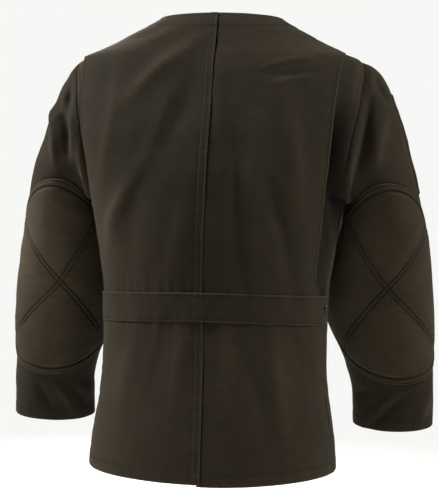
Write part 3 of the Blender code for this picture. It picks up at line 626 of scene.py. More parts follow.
def belt_cloth():
    """The belt lies on both back panels, from side seam to side seam."""
    halves = []
    parts = np.array([0.0, 0.02, 0.05, 0.08, 0.1, 0.12, 0.16, 0.25, 0.4,
                      0.55, 0.7, 0.84, 0.88, 0.9, 0.92, 0.95, 0.98, 1.0])
    over = 1.2      # how far the belt stands past its two lines on the body
    for side in (LEFT, RIGHT):
        levels = BELT_TOP + over + parts * (BELT_FOOT - BELT_TOP - 2 * over)
        cloth = panel(side, levels, BELT_COLUMNS, 60, np.array([0.0, 0.6, 1.4, 3.0]),
                      lambda z, side=side: back_seam_angle(side, z), side_seam_angle)
        cloth.lift = crease_height(BACK_CREASES, cloth.x, cloth.z)
        if side == LEFT:
            cloth.lift = cloth.lift + 0.7 * (1 - ease((cloth.start - FELL_WIDTH + 2) / 3))
        halves.append(cloth)
    point, normal, lift = (
        np.concatenate([getattr(halves[0], grid)[:, ::-1], getattr(halves[1], grid)[:, 1:]], axis=1)
        for grid in ("point", "normal", "lift"))
    whole = Cloth(point, normal)
    lift = lift + BELT_STAND + 0.3 * swells(whole.start, whole.z, 42, 4)
    for distance in (whole.top, whole.foot):
        lift = lift + turning(distance, BELT_ROW, 0.3) + roll_edge(distance, 1.5)
        lift = lift + 0.3 * pucker(whole.start, 15, 3) * np.exp(-np.abs(distance - BELT_ROW) / 6)
    whole.lift = lift + seam_side(whole.start) + seam_side(whole.end)
    return whole


def facing_cloth():
    """The band inside the back neck, which shows as a thin line above the edge."""
    heights = np.linspace(FACING_STAND, -FACING_DEPTH, 16)
    across = np.linspace(FACING_HALF_WIDTH, -FACING_HALF_WIDTH, 61)
    z, x = np.meshgrid(heights, across, indexing="ij")
    angle = angle_at_x(z, np.abs(x))
    flip = np.stack([np.sign(x) + (x == 0), np.ones_like(x), np.ones_like(x)], axis=-1)
    cloth = Cloth(body_point(LEFT, angle, z) * flip, body_normal(LEFT, angle, z) * flip)
    cloth.lift = -(WALL + LAYER_GAP + FACING_PLAY) + roll_edge(cloth.top, 0.4, 1.0) \
        + 0.1 * swells(x, z, 22, 1)
    return cloth


# Sleeves, and what is sewn on them
def armhole_point(side, turn):
    """The armhole: 0 at the shoulder, 90 degrees behind, 180 under the arm, 270 in front."""
    middle, half = (ARMHOLE_TOP + ARMHOLE_BOTTOM) / 2, (ARMHOLE_TOP - ARMHOLE_BOTTOM) / 2
    z = middle + half * np.cos(turn)
    reach = np.where(np.sin(turn) >= 0, ARMHOLE_BACK, ARMHOLE_FRONT)
    y = np.sign(np.sin(turn)) * armhole_reach(z, reach)
    return body_point(side, angle_at_y(z, y), z)


def ring_point(side, turn, z):
    """A point of the sleeve below the armhole, on a ring that leans with the arm."""
    across, behind = np.cos(turn), np.sin(turn)
    word = "left" if side == LEFT else "right"
    inner, outer = sleeve[word + "_in"](z), sleeve[word + "_out"](z)
    x = (inner + outer) / 2 + (outer - inner) / 2 * across
    y = sleeve["y"](z) + sleeve["half_depth"](z) * behind
    return np.stack([side * x, y, z - sleeve["lean"](z) * sleeve["half_depth"](z) * behind], axis=-1)


def sleeve_point(side, turn, down):
    """A point of the sleeve: down is 0 at the armhole, 1 at the first ring and 2 at the cuff."""
    top, foot = SLEEVE[0].z, SLEEVE[-1].z
    start, end = armhole_point(side, turn), ring_point(side, turn, top + 0 * turn)
    length = np.linalg.norm(end - start, axis=-1)[..., None]
    out = unit(np.stack([side * (HEAD_OUT + 0 * turn), HEAD_BACK * np.sin(turn),
                         HEAD_DOWN + HEAD_UNDER * (1 - np.cos(turn))], axis=-1))
    fall = unit(ring_point(side, turn, top - 6 + 0 * turn) - ring_point(side, turn, top + 0 * turn))
    t = np.clip(down, 0, 1)[..., None]
    head = ((1 + 2 * t) * (1 - t) ** 2 * start + t * (1 - t) ** 2 * HEAD_PULL * length * out
            + t * t * (3 - 2 * t) * end - t * t * (1 - t) * length * fall)
    lower = ring_point(side, turn, top + (foot - top) * np.clip(down - 1, 0, 1))
    return np.where(t < 1, head, lower)


def sleeve_normal(side, turn, down):
    """The way out of the sleeve's cloth."""
    step_turn, step_down = 0.02, 0.01
    low = np.clip(down - step_down, 0, 2)
    high = np.clip(down + step_down, 0, 2)
    round_arm = sleeve_point(side, turn + step_turn, down) - sleeve_point(side, turn - step_turn, down)
    down_arm = sleeve_point(side, turn, high) - sleeve_point(side, turn, low)
    return unit(np.cross(down_arm, round_arm)) * side


def sleeve_radius(z):
    """The mean radius of the sleeve at a height."""
    z = np.minimum(z, SLEEVE[0].z)
    return ((sleeve["right_out"](z) - sleeve["right_in"](z)) / 2 + sleeve["half_depth"](z)) / 2


def sleeve_lift(side, turn, point):
    """Creases on the back of the sleeve, turned over on its front, and the cloth's unevenness."""
    x, z = np.abs(point[..., 0]), point[..., 2]
    creases = LEFT_SLEEVE_CREASES if side == LEFT else RIGHT_SLEEVE_CREASES
    behind, before = ease(1.6 * np.sin(turn)), ease(-1.6 * np.sin(turn))
    across = (turn - PAD_CENTRE_ANGLE[side]) * sleeve_radius(z)
    ring = np.hypot(across / PAD_HALF_WIDTH, (z - PAD_CENTRE_HEIGHT) / PAD_HALF_LENGTH)
    off_pad = ease((ring - 1.05) / 0.2)
    plain = 0.6 * swells(x, z, 95, 6 + side) + 0.25 * swells(x + point[..., 1], z, 33, 8 + side)
    outer = ease((np.cos(turn) + 0.15) / 0.9)
    for stance in STANCES:
        if stance.side == side:
            plain = plain + stance.out * dent(z - stance.z, stance.run) * outer / off_pad.clip(0.05)
    return (crease_height(creases, x, z) * behind + plain) * off_pad \
        + 0.7 * crease_height(creases, x, z - 12) * before


def on_sleeve(side, turn, z):
    """The point and normal of the sleeve at a height."""
    down = search(lambda part: sleeve_point(side, turn, part)[..., 2], z, 0.05, 2.0)
    return sleeve_point(side, turn, down), sleeve_normal(side, turn, down)


def sleeve_cloth(side):
    """A sleeve from the armhole to the cuff. Its first row is the seam allowance inside the body."""
    turns = np.linspace(0, 2 * math.pi, 145)
    head = np.concatenate([[0, 0.004, 0.01, 0.018, 0.03, 0.045, 0.065], np.linspace(0.09, 0.98, 42)])
    cuff = np.array([CUFF_TURN + 4, CUFF_TURN + 2, CUFF_TURN + 1, CUFF_TURN, CUFF_TURN - 1,
                     CUFF_TURN - 2.4, 14, 10, 6, 3, 1.6, 0.8, 0])
    foot = 1 - cuff / (SLEEVE[0].z - SLEEVE[-1].z)
    lower = np.concatenate([np.linspace(0, foot[0] - 0.008, 106), foot])
    down, turn = np.meshgrid(np.concatenate([[0], head, 1 + lower]), turns, indexing="ij")
    point, normal = sleeve_point(side, turn, down), sleeve_normal(side, turn, down)
    body_out = body_normal(side, angle_at_y(point[0, :, 2], point[0, :, 1]), point[0, :, 2])
    point[0] += normal[0] * SEAM_TUCK[0] - body_out * SEAM_TUCK[1]      # the seam allowance
    cloth = Cloth(point, normal)
    from_seam = cloth.top - cloth.top[1]
    lift = sleeve_lift(side, turn, cloth.point) * ease(from_seam / 20)
    lift = lift + seam_side(np.abs(from_seam)) * (from_seam > 0) \
        + 0.5 * pucker(turn * 70, 17, 3 + side) * np.exp(-np.abs(from_seam) / 12) * ease(from_seam / 7)
    lift = lift + UNDERARM * dent(from_seam - 9, 11) * dent(turn - math.radians(160), 0.8)
    arm_seam = np.abs(turn - math.pi) * sleeve_radius(cloth.z)
    lift = lift - 0.7 * (1 - ease(arm_seam / 2.4))
    cloth.lift = lift + turning(cloth.foot, CUFF_TURN, 0.4) + roll_edge(cloth.foot, 0.9) \
        + 0.35 * pucker(turn * 60, 18, side) * np.exp(-np.abs(cloth.foot - CUFF_TURN) / 8)
    # Painted shade, strongest at the cuff and fading up the forearm
    cloth.painted_shade = CUFF_PAINTED_SHADE[side] * (1 - ease((cloth.foot - 40) / 110))
    return cloth


def pad_cloth(side, ring, spoke):
    """An oval on the sleeve, raised between its sewn border and its sewn cross."""
    across = ring * PAD_HALF_WIDTH * np.cos(spoke)
    along = ring * PAD_HALF_LENGTH * np.sin(spoke)
    z = PAD_CENTRE_HEIGHT + along
    turn = PAD_CENTRE_ANGLE[side] - across / sleeve_radius(z)
    point, normal = on_sleeve(side, turn, z)
    border = (1 - ring) * PAD_MEAN_RADIUS
    reach = np.abs(across * math.sin(CROSS_ANGLE) - along * math.cos(CROSS_ANGLE))
    other = np.abs(across * math.sin(CROSS_ANGLE) + along * math.cos(CROSS_ANGLE))
    cross = np.minimum(reach, other)
    inside = border - PAD_ROWS[1]
    crown = 0.5 * ease(inside / 30) + 0.5 * ease(inside / 6)
    puff = 0.72 + 0.28 * ease((cross - CROSS_ROWS) / 22)
    lift = sleeve_lift(side, turn, point) + PAD_SEAT + PAD_EDGE + PAD_LOFT * crown * puff
    for row in PAD_ROWS:
        lift = lift - PAD_ROW_DEPTH * dent(border - row, 1.3)
    for line in (reach, other):
        lift = lift - CROSS_ROW_DEPTH * dent(line - CROSS_ROWS, 1.25) * ease((inside + 2) / 3)
    lift = lift + 0.5 * dent(border - sum(PAD_ROWS) / 2, 2.4)
    waves = pucker(spoke * PAD_MEAN_RADIUS, 11, 2) * dent(inside - 6, 6) \
        + pucker(along, 12, 4 + side) * dent(cross - 8, 6)
    lift = lift + (0.3 * waves + 0.5 * swells(across, along, 60, 5 + side)) * ease(inside / 6)
    return point, normal, lift + roll_edge(border, 1.3, 1.8)


def patch_cloth():
    """The plain patch on the outer front of the right upper arm."""
    heights = np.linspace(PATCH_TOP, PATCH_FOOT, 64)
    turns = np.linspace(PATCH_FROM_ANGLE, PATCH_TO_ANGLE, 52)
    z, turn = np.meshgrid(heights, turns, indexing="ij")
    point, normal = on_sleeve(RIGHT, turn, z)
    cloth = Cloth(point, normal)
    edge = np.minimum(np.minimum(cloth.top, cloth.foot), np.minimum(cloth.start, cloth.end))
    cloth.lift = sleeve_lift(RIGHT, turn, point) + PATCH_STAND \
        + 0.2 * swells(cloth.start, cloth.top, 30, 2) \
        - 0.5 * dent(edge - TRIM_ROW, 1.1) + roll_edge(edge, 0.9, 1.4)
    return cloth


# Meshes
def grid_faces(rows, columns, tube):
    """The faces of a grid of points. A tube's last column joins its first."""
    last = columns if tube else columns - 1
    row, column = np.meshgrid(np.arange(rows - 1), np.arange(last), indexing="ij")
    a = (row * columns + column).ravel()
    b = (row * columns + (column + 1) % columns).ravel()
    return np.stack([a, a + columns, b + columns, b], axis=1)


def closed_shell(name, outer, inner, uv, wear_and_painted_light, tube=False, disc=False):
    """Close an outer and an inner grid into one shell. A tube's last column is its first, and a disc
    closes on a middle point."""
    if tube:
        outer, inner, uv_grid, wear_and_painted_light = outer[:, :-1], inner[:, :-1], uv[:, :-1], wear_and_painted_light[:, :-1]
    else:
        uv_grid = uv
    rows, columns = outer.shape[:2]
    count = rows * columns
    joined = tube or disc
    skin = grid_faces(rows, columns, joined)
    faces = [skin, skin[:, ::-1] + count]
    ring = np.arange(columns if joined else columns - 1)
    after = (ring + 1) % columns
    last = (rows - 1) * columns
    if not disc:
        faces.append(np.stack([ring, after, after + count, ring + count], axis=1))
    foot = last + ring
    faces.append(np.stack([foot + count, last + after + count, last + after, foot], axis=1))
    if not joined:
        row = np.arange(rows - 1)
        for column, turned in ((0, False), (columns - 1, True)):
            a, d = row * columns + column, (row + 1) * columns + column
            wall = np.stack([a + count, d + count, d, a], axis=1)
            faces.append(wall[:, ::-1] if turned else wall)
    points = np.concatenate([outer.reshape(-1, 3), inner.reshape(-1, 3)]) * MM
    flat_uv = np.concatenate([uv_grid.reshape(-1, 2)] * 2) * MM
    worn_and_painted_light = np.concatenate([wear_and_painted_light.ravel(), wear_and_painted_light.ravel() * 0])
    quads = np.concatenate(faces).tolist()
    if disc:
        middle = len(points)
        points = np.concatenate([points, [outer[0].mean(axis=0) * MM], [inner[0].mean(axis=0) * MM]])
        flat_uv = np.concatenate([flat_uv, [uv_grid[0].mean(axis=0) * MM] * 2])
        worn_and_painted_light = np.concatenate([worn_and_painted_light, [0, 0]])
        quads += [(middle, int(r), int(a)) for r, a in zip(ring, after)]
        quads += [(middle + 1, int(a) + count, int(r) + count) for r, a in zip(ring, after)]
    return new_piece(name, points, quads, flat_uv, worn_and_painted_light)


def new_piece(name, points, faces, flat_uv=None, worn_and_painted_light=None):
    """A piece of the jacket from points in metres, with its flat layout, and its wear and painted light."""
    mesh = bpy.data.meshes.new(name)
    mesh.from_pydata(np.asarray(points).tolist(), [], faces)
    mesh.validate()
    mesh.shade_smooth()
    if flat_uv is not None:
        corner = np.zeros(len(mesh.loops), dtype=np.int32)
        mesh.loops.foreach_get("vertex_index", corner)
        layer = mesh.uv_layers.new(name="cloth")
        layer.data.foreach_set("uv", np.asarray(flat_uv)[corner].ravel())
    if worn_and_painted_light is not None:
        wear_and_painted_light = mesh.attributes.new("wear_and_painted_light", "FLOAT", "POINT")
        wear_and_painted_light.data.foreach_set("value", np.asarray(worn_and_painted_light, dtype=float))
    thing = bpy.data.objects.new(name, mesh)
    bpy.context.scene.collection.objects.link(thing)
    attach(thing, "root")
    return thing


def rubbed_less_painted_shade(cloth):
    """How much each point is rubbed, most along edges and the tops of creases, less the painted shade."""
    edge = np.minimum(np.minimum(cloth.top, cloth.foot), np.minimum(cloth.start, cloth.end))
    relief = cloth.lift - np.median(cloth.lift)
    return np.clip(0.6 * np.exp(-edge / 1.8) + 0.08 * np.clip(relief, 0, 4), 0, 1) - cloth.painted_shade


def paint_row_shade(piece, lines, dark):
    """Paint shade on the cloth along its rows of stitches, where it is pressed into a groove."""
    spots = []
    for point, _ in lines:
        for a, b in zip(point[:-1], point[1:]):
            parts = max(1, int(np.linalg.norm(b - a) / 1.2))
            spots += [a + (b - a) * n / parts for n in range(parts)]
    tree = kdtree.KDTree(len(spots))
    for n, spot in enumerate(spots):
        tree.insert(spot * MM, n)
    tree.balance()
    values = piece.data.attributes["wear_and_painted_light"].data
    for vertex in piece.data.vertices:
        away = tree.find(vertex.co)[2] / MM
        if away < ROW_SHADE_REACH:
            values[vertex.index].value -= dark * math.exp(-(away / ROW_SHADE_WIDTH) ** 2)


def ring_points(middle, beside, up, radius, spokes, first=0.0):
    """Points round a middle, in the plane of the ways beside and up."""
    turns = first + np.arange(spokes) * 2 * math.pi / spokes
    return [middle + (beside * math.cos(a) + up * math.sin(a)) * radius for a in turns]


def ring_faces(rings, spokes, base=0):
    """The sides between rings of points, and a flat end on the first ring and on the last."""
    faces = []
    for ring in range(rings - 1):
        for turn in range(spokes):
            a, b = base + ring * spokes + turn, base + ring * spokes + (turn + 1) % spokes
            faces.append((a, b, b + spokes, a + spokes))
    last = base + (rings - 1) * spokes
    return faces + [tuple(base + turn for turn in reversed(range(spokes))),
                    tuple(last + turn for turn in range(spokes))]


# Topstitching
def sewn_line(cloth, edge, distance, low=-1e9, high=1e9):
    """The points and normals of a row sewn at a distance from an edge, between two heights."""
    away, grid = getattr(cloth, edge), np.concatenate([cloth.outer(), cloth.normal], axis=-1)
    if edge in ("top", "foot"):
        away, grid = away.T, grid.transpose(1, 0, 2)
    line = []
    for away_here, here in zip(away, grid):
        order = np.argsort(away_here)
        at = [np.interp(distance, away_here[order], here[order, i]) for i in range(6)]
        if low <= at[2] <= high:
            line.append(at)
    line = np.reshape(line, (-1, 6))
    return line[:, :3], line[:, 3:]


# One stitch: rings at shares of its length, their height in mm, and their share of the thread's width
StitchRing = namedtuple("StitchRing", "share height width")
STITCH = (
    StitchRing(0.0, -0.35, 0.02),
    StitchRing(0.18, 0.12, 1.0),
    StitchRing(0.82, 0.12, 1.0),
    StitchRing(1.0, -0.35, 0.02),
)


def stitching(name, lines):
    """All stitches on one piece, each a short spindle of thread that dips in at both ends."""
    points, faces = [], []
    for point, normal in lines:
        if len(point) < 2:
            continue
        along = np.concatenate([[0], np.cumsum(np.linalg.norm(np.diff(point, axis=0), axis=-1))])
        for start in np.arange(0.5, along[-1] - STITCH_LENGTH, STITCH_LENGTH + STITCH_GAP):
            first, last, up = (np.array([np.interp(at, along, grid[:, i]) for i in range(3)])
                               for at, grid in ((start, point), (start + STITCH_LENGTH, point),
                                                (start, normal)))
            up = unit(up)
            beside = np.cross(unit(last - first), up)
            faces += ring_faces(len(STITCH), 4, len(points))
            for ring in STITCH:
                middle = first + (last - first) * ring.share + up * ring.height
                points += ring_points(middle, beside, up, THREAD * ring.width, 4, RIGHT_ANGLE / 2)
    return new_piece(name, np.array(points) * MM, faces)


def pad_line(side, across, along):
    """Points and normals of a sewn line on a pad."""
    ring = np.hypot(across / PAD_HALF_WIDTH, along / PAD_HALF_LENGTH)
    spoke = np.arctan2(along / PAD_HALF_LENGTH, across / PAD_HALF_WIDTH)
    point, normal, lift = pad_cloth(side, ring, spoke)
    return point + normal * lift[:, None], normal


def pad_lines(side):
    """The rows sewn on a pad: two round its border and two beside each line of its cross."""
    turn = np.linspace(0, 2 * math.pi, 320)
    lines = []
    for row in PAD_ROWS:
        share = 1 - row / PAD_MEAN_RADIUS
        lines.append(pad_line(side, share * PAD_HALF_WIDTH * np.cos(turn),
                              share * PAD_HALF_LENGTH * np.sin(turn)))
    inner = 1 - PAD_ROWS[1] / PAD_MEAN_RADIUS
    reach = np.linspace(-1, 1, 160)
    for lean in (1, -1):
        way = np.array([math.cos(CROSS_ANGLE), lean * math.sin(CROSS_ANGLE)])
        half = inner / math.hypot(way[0] / PAD_HALF_WIDTH, way[1] / PAD_HALF_LENGTH)
        for row in (-CROSS_ROWS, CROSS_ROWS):
            lines.append(pad_line(side, reach * half * way[0] - row * way[1],
                                  reach * half * way[1] + row * way[0]))
    return lines


# Buttons and press stud
def turned_disc(name, centre, normal, profile, spokes, holes=()):
    """A round piece turned from a profile of radii and heights, with small holes sunk into it."""
    beside = unit(np.cross(normal, [0, 0, 1]))
    up = np.cross(beside, normal)
    points = []
    for radius, height in profile:
        for turn in np.linspace(0, 2 * math.pi, spokes + 1)[:-1]:
            x, z = radius * math.cos(turn), radius * math.sin(turn)
            sunk = sum(ease(np.array((HOLE_RADIUS - math.hypot(x - hole_x, z - hole_z)) / 0.35))
                       for hole_x, hole_z in holes)
            points.append(centre + beside * x + up * z + normal * (height - HOLE_DEPTH * min(sunk, 1)))
    return new_piece(name, np.array(points) * MM, ring_faces(len(profile), spokes))


def sew_button(number, height):
    """A four-hole horn button: a raised rim round a dished middle, held by four bars of thread."""
    angle, z = np.array(-RIGHT_ANGLE), np.array(height)
    normal = body_normal(LEFT, angle, z)
    centre = body_point(LEFT, angle, z) + normal * LAYER_GAP
    r, h = BUTTON_RADIUS, BUTTON_HEIGHT
    profile = [(r - 1.6, 0.0), (r - 0.5, 0.5), (r - 0.05, 1.4), (r - 0.3, 2.4), (r - 0.9, 3.1),
               (r - 1.5, h), (r - 2.3, h - 0.1), (r - 3.0, h - 0.6), (r - 3.6, h - 0.9)]
    profile += [(radius, h - 1.0) for radius in np.linspace(r - 4.2, 0.3, 17)]
    holes = [(x, y) for x in (-HOLE_OUT, HOLE_OUT) for y in (-HOLE_OUT, HOLE_OUT)]
    made = turned_disc(f"button_{number}", centre, normal, profile, 48, holes)
    dress(made, horn, f"front_button_{number}")

    side_way = unit(np.cross(normal, [0, 0, 1]))
    up_way = np.cross(side_way, normal)
    points, faces = [], []
    for x in (-HOLE_OUT, HOLE_OUT):
        for shift in (-THREAD_SPREAD, THREAD_SPREAD):
            first, last = (centre + side_way * (x + shift) + up_way * y + normal * (h - 0.75)
                           for y in (-THREAD_REACH, THREAD_REACH))
            beside = np.cross(unit(last - first), normal)
            faces += ring_faces(7, 6, len(points))
            for share in np.linspace(0, 1, 7):
                rise = 0.35 * math.sin(math.pi * share) - 0.9 * (share in (0.0, 1.0))
                middle = first + (last - first) * share + normal * rise
                points += ring_points(middle, beside, normal, THREAD, 6)
    dress(new_piece(f"button_{number}_thread", np.array(points) * MM, faces), thread)


def press_stud():
    """The cap of a press stud: a rolled rim round a sunk middle with a low boss."""
    z = np.array((BELT_TOP + BELT_FOOT) / 2 - 2)
    angle = turn_from(side_seam_angle(z), STUD_FROM_SEAM, z)
    normal = body_normal(RIGHT, angle, z)
    centre = body_point(RIGHT, angle, z) + normal * (STUD_STAND + LAYER_GAP)
    r, h = STUD_RADIUS, STUD_HEIGHT
    profile = [(r - 0.4, 0.0), (r, 0.5), (r, 1.2), (r - 0.35, 1.9), (r - 1.0, h - 0.3), (r - 1.7, h),
               (r - 2.3, h - 0.2), (r - 2.8, h - 0.9), (r - 3.4, h - 1.2), (1.9, h - 1.2),
               (1.5, h - 0.8), (0.8, h - 0.55), (0.2, h - 0.5)]
    return turned_disc("press_stud", centre, normal, profile, 40)


# Materials
def linear(hex_colour):
    """An sRGB hex colour as a linear one."""
    parts = [int(hex_colour[i:i + 2], 16) / 255 for i in (0, 2, 4)]
    return (*(c / 12.92 if c <= 0.04045 else ((c + 0.055) / 1.055) ** 2.4 for c in parts), 1.0)


def add(tree, kind, values=None, **settings):
    """Add a node, set what it is set to, and fill or link its sockets."""
    made = tree.nodes.new(kind)
    for name, value in settings.items():
        setattr(made, name, value)
    for socket, value in (values or {}).items():
        if isinstance(value, bpy.types.NodeSocket):
            tree.links.new(value, made.inputs[socket])
        else:
            made.inputs[socket].default_value = value
    return made


def plain_material(name, colour, values):
    """A material with one colour, and with the shader's values given by their sockets' names."""
    material = bpy.data.materials.new(name)
    material.use_nodes = True
    tree = material.node_tree
    shader = tree.nodes["Principled BSDF"]
    shader.inputs["Base Color"].default_value = linear(colour)
    for socket, value in values.items():
        shader.inputs[socket].default_value = value
    return material, tree, shader


def toned(tree, shader, pattern, dark, pale, low=0.0, high=1.0, rough=None):
    """Let a pattern run the colour between two tones, and the roughness where it is given."""
    ramp = add(tree, "ShaderNodeValToRGB", {"Fac": pattern})
    for element, place, tone in zip(ramp.color_ramp.elements, (low, high), (dark, pale)):
        element.position, element.color = place, linear(tone)
    tree.links.new(ramp.outputs["Color"], shader.inputs["Base Color"])
    if rough:
        value = add(tree, "ShaderNodeMapRange", {"Value": pattern, "To Min": rough[0], "To Max": rough[1]})
        tree.links.new(value.outputs[0], shader.inputs["Roughness"])
    return ramp.outputs["Color"]


def woven(name, deep, lit, worn_and_painted_light, rib_mm, slub_mm, relief_mm, roughness, sheen):
    """Woven cloth: ribs of weft across it, finer warp along it, thick slubs and uneven dyeing."""
    material, tree, shader = plain_material(name, deep, {
        "Roughness": roughness, "Sheen Weight": sheen, "Sheen Roughness": 0.5,
        "Sheen Tint": linear("B9B2A2"), "Specular IOR Level": 0.13})
    uv = add(tree, "ShaderNodeUVMap", uv_map="cloth").outputs[0]
    ribs, slubs = 1000.0 / rib_mm, 1000.0 / slub_mm         # to the metre
    threads = []
    for across, along, detail in ((ribs / 12, ribs, 1.5), (ribs * 1.15, ribs / 14, 1.5),
                                  (slubs / 14, slubs, 2.0)):
        place = add(tree, "ShaderNodeMapping", {"Vector": uv, "Scale": (across, along, 1)}).outputs[0]
        threads.append(add(tree, "ShaderNodeTexNoise", {"Vector": place, "Scale": 1.0, "Detail": detail,
                                                        "Roughness": 0.6}).outputs["Fac"])
    weft, warp, slub = threads
    place = add(tree, "ShaderNodeTexCoord").outputs["Object"]
    dye = add(tree, "ShaderNodeTexNoise", {"Vector": place, "Scale": 7.0, "Detail": 5.0,
                                           "Roughness": 0.62}).outputs["Fac"]
    blends = [weft]
    for other, share in ((warp, 0.35), (slub, 0.3), (dye, 0.42)):
        blends.append(add(tree, "ShaderNodeMix", {"Factor": share, "A": blends[-1], "B": other},
                          data_type="FLOAT").outputs["Result"])
    yarn, tone = blends[2:]
    colour = toned(tree, shader, tone, deep, lit, 0.3, 0.72)

    # Rubbed edges and ridges pale toward the worn tone, and so does the painted highlight on the left pad;
    # painted shade darkens the cloth
    wear_and_painted_light = add(tree, "ShaderNodeAttribute", attribute_name="wear_and_painted_light").outputs["Fac"]
    wear_and_highlight_here = add(tree, "ShaderNodeMath", {0: wear_and_painted_light, 1: yarn}, operation="MULTIPLY").outputs[0]
    # Painted shade: the attribute's values below zero mix the colour toward near black
    painted_shade_share = add(tree, "ShaderNodeMapRange", {"Value": wear_and_painted_light, "From Min": 0.0, "From Max": -1.0,
                                               "To Max": 0.9}).outputs[0]
    for share, tint in ((wear_and_highlight_here, worn_and_painted_light), (painted_shade_share, "0A0603")):
        colour = add(tree, "ShaderNodeMix", {"Factor": share, "A": colour, "B": linear(tint)},
                     data_type="RGBA").outputs["Result"]
    tree.links.new(colour, shader.inputs["Base Color"])

    bump = add(tree, "ShaderNodeBump", {"Height": yarn, "Strength": 0.8, "Distance": relief_mm * MM})
    soft = add(tree, "ShaderNodeTexNoise", {"Vector": place, "Scale": 55.0, "Detail": 3.0}).outputs["Fac"]
    wrinkle = add(tree, "ShaderNodeBump", {"Height": soft, "Strength": 0.35, "Distance": 1.6 * MM,
                                           "Normal": bump.outputs[0]})
    tree.links.new(wrinkle.outputs[0], shader.inputs["Normal"])
    return material


# Heavy cotton duck, plain woven and piece-dyed: fine ribs across, a dry surface with a faint nap.
# Its ribs are really about 0.8 mm apart and are drawn 1.7 mm apart so that they show.
duck = woven("cotton_duck_woven", "201910", "332D20", "554D3E",
             rib_mm=1.7, slub_mm=3.4, relief_mm=0.45, roughness=0.84, sheen=0.10)
# The pads are the same duck over wadding, drawn in a paler copy of its colours as painted light, since they
# catch more light than the body.
pad_duck_painted_paler = woven("cotton_duck_quilted", "251E12", "3E3729", "5C5445",
                 rib_mm=1.7, slub_mm=3.4, relief_mm=0.45, roughness=0.86, sheen=0.12)
# Cotton twill inside the neck: a finer, darker and flatter cloth.
twill = woven("cotton_twill_woven", "1C1712", "2A251E", "3A352C",
              rib_mm=1.1, slub_mm=2.4, relief_mm=0.25, roughness=0.88, sheen=0.15)
# Split suede, buffed: a short brown nap, whose pattern is too fine to read as ribs.
suede = woven("split_suede_buffed", "35271C", "46362A", "5E4B3B",
              rib_mm=0.9, slub_mm=1.2, relief_mm=0.2, roughness=0.93, sheen=0.45)


def thread_material():
    """Polyester thread, twisted and waxed: a little sheen on darker, even stitches."""
    material, tree, shader = plain_material("polyester_thread_twisted", "2A241A", {
        "Roughness": 0.6, "Specular IOR Level": 0.4})
    place = add(tree, "ShaderNodeTexCoord").outputs["Object"]
    twist = add(tree, "ShaderNodeTexWave", {"Vector": place, "Scale": 420.0, "Distortion": 1.5},
                bands_direction="DIAGONAL").outputs["Fac"]
    toned(tree, shader, twist, "1C1711", "352E23")
    relief = add(tree, "ShaderNodeBump", {"Height": twist, "Strength": 0.5, "Distance": 0.2 * MM})
    tree.links.new(relief.outputs[0], shader.inputs["Normal"])
    return material


def horn_material():
    """Horn, turned and polished: dark brown with paler streaks and a soft gloss."""
    material, tree, shader = plain_material("horn_polished", "2A1D12", {
        "Roughness": 0.32, "Coat Weight": 0.25, "Coat Roughness": 0.2})
    place = add(tree, "ShaderNodeTexCoord").outputs["Object"]
    place = add(tree, "ShaderNodeMapping", {"Vector": place, "Scale": (90, 90, 420)}).outputs[0]
    streak = add(tree, "ShaderNodeTexNoise", {"Vector": place, "Scale": 1.0, "Detail": 4.0,
                                              "Distortion": 0.8}).outputs["Fac"]
    toned(tree, shader, streak, "1D130B", "54402B", 0.35, 0.75, rough=(0.26, 0.42))
    return material


def brass_material():
    """Brass, stamped and blackened: dull dark patches between paler ones rubbed to a soft shine."""
    material, tree, shader = plain_material("brass_stamped_blackened", "4A3F2C", {
        "Roughness": 0.4, "Metallic": 1.0})
    place = add(tree, "ShaderNodeTexCoord").outputs["Object"]
    patch = add(tree, "ShaderNodeTexNoise", {"Vector": place, "Scale": 260.0, "Detail": 4.0}).outputs["Fac"]
    toned(tree, shader, patch, "2B251B", "7A6847", 0.35, 0.7, rough=(0.5, 0.3))
    return material


thread, horn, brass = thread_material(), horn_material(), brass_material()


# The jacket
def dress(piece, material, node=None):
    """Give a piece its material, and hide the node that it replaces."""
    piece.data.materials.append(material)
    if node:
        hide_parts(node)
    return piece


def sew(name, node, cloth, rows, material=duck, tube=False,
        thickness=DUCK_CLOTH):
    """Make a cloth piece and its stitching, and state the flat cut of what shows.

    Each row to be sewn is an edge and a distance from it, and may have two heights between which it runs.
    """
    outer = cloth.outer()
    uv = np.stack([cloth.start, -cloth.top], axis=-1)
    piece = closed_shell(name, outer, outer - cloth.normal * thickness, uv, rubbed_less_painted_shade(cloth), tube=tube)
    dress(piece, material, node)
    lines = [sewn_line(cloth, *row) for row in rows]
    paint_row_shade(piece, lines, ROW_PAINTED_SHADE)
    with_pieces = [dress(stitching(name + "_stitching", lines), thread)]


